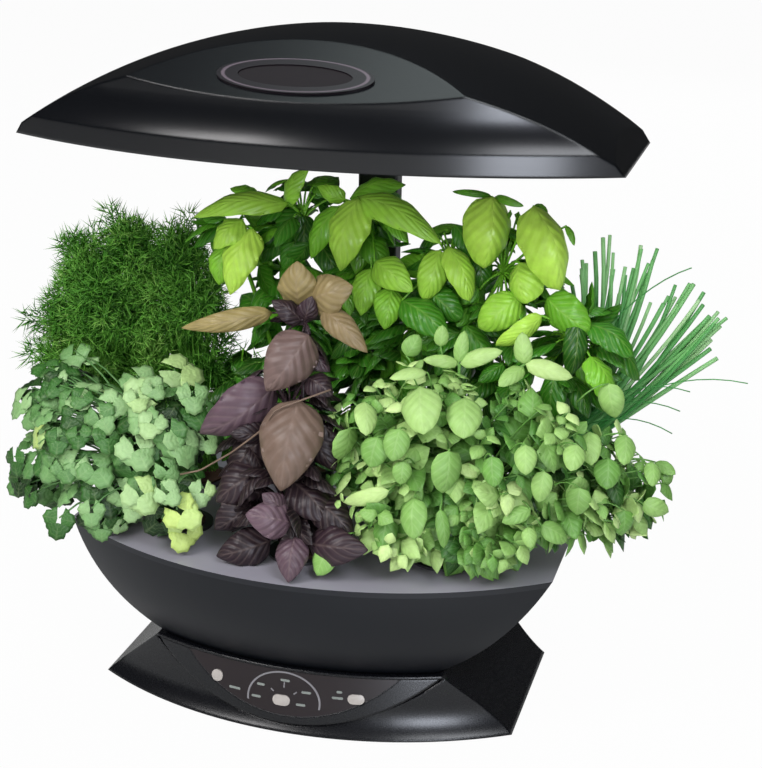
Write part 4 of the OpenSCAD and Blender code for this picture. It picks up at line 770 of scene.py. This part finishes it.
def growBasil(s, name, slotName, nodeName, podName):
    rng = np.random.default_rng(s["seed"])
    b, rows, cols = basilForm, s["rows"], s["cols"]
    table = np.array([row + [b["cup"]] * (9 - len(row)) for row in s["leaves"]], float)
    n = len(table)
    base, tip, cup = table[:, :3], table[:, 3:6], table[:, 8]
    face = unit(toCamera + 0.25 * up + rng.normal(0, 0.28, (n, 3)))
    sheet = leafSheets(base, tip, face, table[:, 6] * 1.12, 0.15 + 0.1 * cup, cup, rng.normal(0, 0.15, n),
                       rows, cols, s["outline"], 0.1, rng)
    parts = [(*sheet, perSheet(table[:, 7], rows, cols))]
    # smaller leaves fill the crown behind the large ones; none stands in front of a bright large leaf
    spot, way, depth = crownSpots(s["balls"], s["fill"], rng, 0.7)
    bright = table[table[:, 7] > b["brightTone"]]
    middle = np.concatenate([bright[:, :3] * (1 - k) + bright[:, 3:6] * k for k in (0.2, 0.5, 0.8)])
    reach = np.tile(bright[:, 6] / 2 + b["clearMm"], 3)
    gap = spot[:, None] - middle[None]
    ahead = gap @ unit(toCamera)
    aside = np.linalg.norm(gap - ahead[..., None] * unit(toCamera), axis=2)
    clear = ~((aside < reach) & (ahead > b["behindMm"])).any(1)
    spot, way, depth = spot[clear], way[clear], depth[clear]
    m = len(spot)
    size = s["fillMm"] * rng.uniform(0.7, 1.1, m)
    heading = unit(way * (level + 0.3 * up) - 0.4 * up + rng.normal(0, 0.3, (m, 3)))
    face = unit(way + 0.6 * up + rng.normal(0, 0.2, (m, 3)))
    # painted light and shade: brighter from 220 to 330 mm up and towards the crown's skin
    low, high = s["fillShadeAndLight"]
    lit = np.clip((spot[:, 2] - 220) / 110, 0, 1) * np.clip(depth, 0.2, 1)
    fillShadeAndLight = low + (high - low) * np.clip(0.25 + 0.75 * lit + rng.normal(0, 0.15, m), 0, 1)
    halfLeaf = heading * (size * 0.5)[:, None]
    rows, cols = b["fillRows"], b["fillCols"]
    sheet = leafSheets(spot - halfLeaf, spot + halfLeaf, face, size * 0.62, np.full(m, 0.12),
                       rng.uniform(0.3, 0.6, m), rng.normal(0, 0.2, m), rows, cols, "pointed", 0.08, rng)
    parts.append((*sheet, perSheet(fillShadeAndLight, rows, cols)))
    # stems: main ones from the pod to each ball, then a stalk to each leaf
    pod = np.array([*pods[podName], podTop])
    heart = np.array(s["balls"], float)[:, :3]
    parts.append(stemPart(bend(np.repeat(pod[None], len(heart), 0), heart, 10.0, b["stemSteps"]),
                          2.4, 1.4, high))
    leafBase = np.concatenate([base, spot - halfLeaf])
    nearest = heart[np.argmin(np.linalg.norm(leafBase[:, None] - heart[None], axis=2), axis=1)]
    parts.append(stemPart(bend(nearest, leafBase, 3.0, b["stalkSteps"]), 1.0, 0.7, high))
    # long thin shoots: each runs through its own points
    for route in np.array(s.get("sprigs", []), float):
        at = np.linspace(0, len(route) - 1, b["sprigSteps"])
        path = np.stack([np.interp(at, np.arange(len(route)), route[:, k]) for k in range(3)], -1)
        parts.append(stemPart(path[None], 0.7, 0.7, 0.7))
    growPiece(name, parts, slotName, nodeName)


growBasil(greenBasil, "green_basil_plant", "basil_leaf", "plant_green_basil", "green")
growBasil(largeBasil, "large_basil_plant", "basil_leaf", "plant_large_basil", "large")
growBasil(purpleBasil, "purple_basil_plant", "purple_leaf", "plant_purple_basil", "purple")

# Chives: round blades in a fan, cut straight at the top
chives = {"seed": 53, "radius": 2.0, "sides": 8, "steps": 14, "elbow": (192, 52, 192), "shift": (-2, 21, -6),
          "blades": [
    [173, 38, 324], [178, 43, 332], [185, 29, 346], [193, 36, 322], [192, 36, 334], [202, 34, 319],
    [207, 36, 324], [211, 36, 341], [222, 43, 338], [217, 38, 328], [237, 38, 314], [247, 38, 316],
    [250, 34, 317], [257, 40, 310], [255, 29, 307], [268, 43, 296], [275, 29, 296], [267, 34, 285],
    [271, 32, 289], [259, 43, 288], [265, 40, 276], [233, 36, 306], [199, 38, 307], [169, 43, 314]],
    "strays": [[292, 40, 247], [253, 38, 237], [243, 36, 205], [247, 40, 221], [247, 38, 327]]}


def growChives(s):
    # each tip is used twice, the second time a little lower and beside the first
    rng = np.random.default_rng(s["seed"])
    tips = np.array(s["blades"], float) + np.array(s["shift"])
    tips = np.concatenate([tips, tips + rng.normal(0, 1, tips.shape) * np.array([5, 7, 6])
                           - np.array([3, 0, 8])])
    n, steps, sides = len(tips), s["steps"], s["sides"]
    starts = podStarts("chives", 5, n, rng)
    # a blade leans out of its pod to an elbow, then turns up: (1-t)^2 start + 2t(1-t) elbow + t^2 tip
    elbow = np.array(s["elbow"]) + rng.normal(0, 1, (n, 3)) * np.array([7, 3, 7])
    t = np.linspace(0, 1, steps)
    k = t[None, :, None]
    paths = starts[:, None] * (1 - k) ** 2 + 2 * elbow[:, None] * k * (1 - k) + tips[:, None] * k ** 2
    radius = s["radius"] * np.linspace(1.1, 0.75, steps)[None] * rng.uniform(0.8, 1.1, (n, 1))
    along = np.tile(np.repeat(t, sides), n)
    parts = [(*stemTubes(paths, radius, sides),
              np.repeat(rng.uniform(0.1, 0.6, n), steps * sides) + 0.35 * along)]
    # a few thin strays hang out of the fan
    ends = np.array(s["strays"], float)
    pod = np.array([*pods["chives"], podTop])
    parts.append(stemPart(bend(np.repeat(pod[None], len(ends), 0), ends, 34.0, 16), 0.45, 0.45, 0.3))
    growPiece("chives_plant", parts, "chive_leaf", "plant_chives")


growChives(chives)


# Release spring: steel wire, its radius in millimetres, wound between the mast and the lever's tail
spring = {"turns": 6.0, "wire": 0.45, "steps": 110, "sides": 8, "pressed": 0.69}


def windSpring(s):
    # a helix: the angle grows evenly along the spring
    low, high = (np.array(corner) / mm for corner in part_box("release_spring"))
    middle = (low + high) / 2
    t = np.linspace(0, 1, s["steps"])
    angle = math.tau * s["turns"] * t
    reach = (high[0] - low[0]) / 2 - s["wire"]
    along = low[1] + s["wire"] + (high[1] - low[1] - 2 * s["wire"]) * t
    path = np.stack([middle[0] + reach * np.cos(angle), along, middle[2] + reach * np.sin(angle)], -1)
    coil = stemPart(path[None], s["wire"], s["wire"], 0.0, s["sides"])
    piece = makePiece("release_coil", *coil, made["zinc_steel"])
    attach(piece, "base")
    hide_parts("release_spring")
    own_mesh(piece)
    print("stage: release spring")


windSpring(spring)


# Studio: soft boxes in front on the left and right, and one overhead. A low one reaches under the hood, one
# stands behind, and a small one is seen only as a soft reflection. A row: name, place and size in metres,
# watts, tint.
studio = {
    "floor": "#c6c6c6", "floorSize": 60.0, "floorRough": 0.9, "paperWhite": 0.97,
    "horizon": 0.0, "zenith": 0.44, "horizonEnd": 0.3, "mirrored": 0.03, "aim": (0, 0, 0.25),
    "fillOnly": ("low", "back"), "sheenOnly": ("sheen",),
    "lamps": [("key", (-1.25, -1.65, 2.1), 1.1, 44, (1.0, 0.985, 0.99)),
              ("right", (1.25, -1.55, 2.1), 1.1, 34, (0.92, 0.95, 1.0)),
              ("top", (0.2, 0.4, 2.6), 2.0, 20, (0.88, 1.0, 1.0)),
              ("low", (-0.3, -2.6, 0.75), 2.2, 44, (1.0, 1.0, 0.97)),
              ("back", (0.5, 2.5, 1.5), 2.4, 40, (1.0, 1.0, 1.0)),
              ("sheen", (0.85, -1.5, 0.24), 0.5, 11, (0.84, 0.89, 1.0))]}


def setStudio(s):
    scene = bpy.context.scene
    scene.view_settings.view_transform = "Standard"
    world = bpy.data.worlds.new("studio")
    scene.world = world
    world.use_nodes = True
    tree = world.node_tree
    light = tree.nodes["Background"]
    # darker at the height of the horizon than overhead
    way = addNode(tree, "TexCoord").outputs["Generated"]
    height = addNode(tree, "SeparateXYZ", Vector=way)
    bright = addNode(tree, "MapRange",
                     {"From Min": s["horizonEnd"], "To Min": s["horizon"], "To Max": s["zenith"]},
                     Value=height.outputs["Z"])
    tree.links.new(bright.outputs["Result"], light.inputs["Strength"])
    seen = addNode(tree, "Background", {"Color": (1, 1, 1, 1), "Strength": 1.0})
    # white to the eye and through glass; the glossy plastic mirrors only a small share of that white
    path = addNode(tree, "LightPath")
    clear = addNode(tree, "Math", {"operation": "MAXIMUM"},
                    i0=path.outputs["Is Camera Ray"], i1=path.outputs["Is Transmission Ray"])
    white = addNode(tree, "Math", {"operation": "MULTIPLY_ADD", 1: s["mirrored"]},
                    i0=path.outputs["Is Glossy Ray"], i2=clear.outputs[0])
    mix = addNode(tree, "MixShader", None, i0=white.outputs[0], i1=light.outputs[0], i2=seen.outputs[0])
    tree.links.new(mix.outputs[0], tree.nodes["World Output"].inputs["Surface"])
    side = s["floorSize"] / 2
    mesh = bpy.data.meshes.new("studio_floor")
    mesh.from_pydata([(-side, -side, 0), (side, -side, 0), (side, side, 0), (-side, side, 0)],
                     [], [(0, 1, 2, 3)])
    floor = bpy.data.objects.new("studio_floor", mesh)
    scene.collection.objects.link(floor)
    # matt paper: nearly white to the eye, with the object's shadow in the rest
    finish, tree, shader = newFinish("studio paper")
    shader.inputs["Base Color"].default_value = hexColour(s["floor"])
    shader.inputs["Roughness"].default_value = s["floorRough"]
    path = addNode(tree, "LightPath")
    white = addNode(tree, "Emission", {"Color": (1, 1, 1, 1), "Strength": 1.0})
    part = addNode(tree, "Math", {"operation": "MULTIPLY", 1: s["paperWhite"]},
                   i0=path.outputs["Is Camera Ray"])
    mixed = addNode(tree, "MixShader", None, i0=part.outputs[0], i1=shader.outputs[0], i2=white.outputs[0])
    tree.links.new(mixed.outputs[0], tree.nodes["Material Output"].inputs["Surface"])
    mesh.materials.append(finish)
    for name, place, size, power, tint in s["lamps"]:
        lampData = bpy.data.lights.new(name, "AREA")
        lampData.size = size
        lampData.energy = power
        lampData.color = tint
        lamp = bpy.data.objects.new(name, lampData)
        lamp.location = place
        lamp.rotation_euler = (Vector(s["aim"]) - Vector(place)).to_track_quat("-Z", "Y").to_euler()
        lamp.visible_glossy = name not in s["fillOnly"]
        lamp.visible_diffuse = lamp.visible_camera = name not in s["sheenOnly"]
        scene.collection.objects.link(lamp)


setStudio(studio)
print("stage: studio")

bpy.context.view_layer.update()
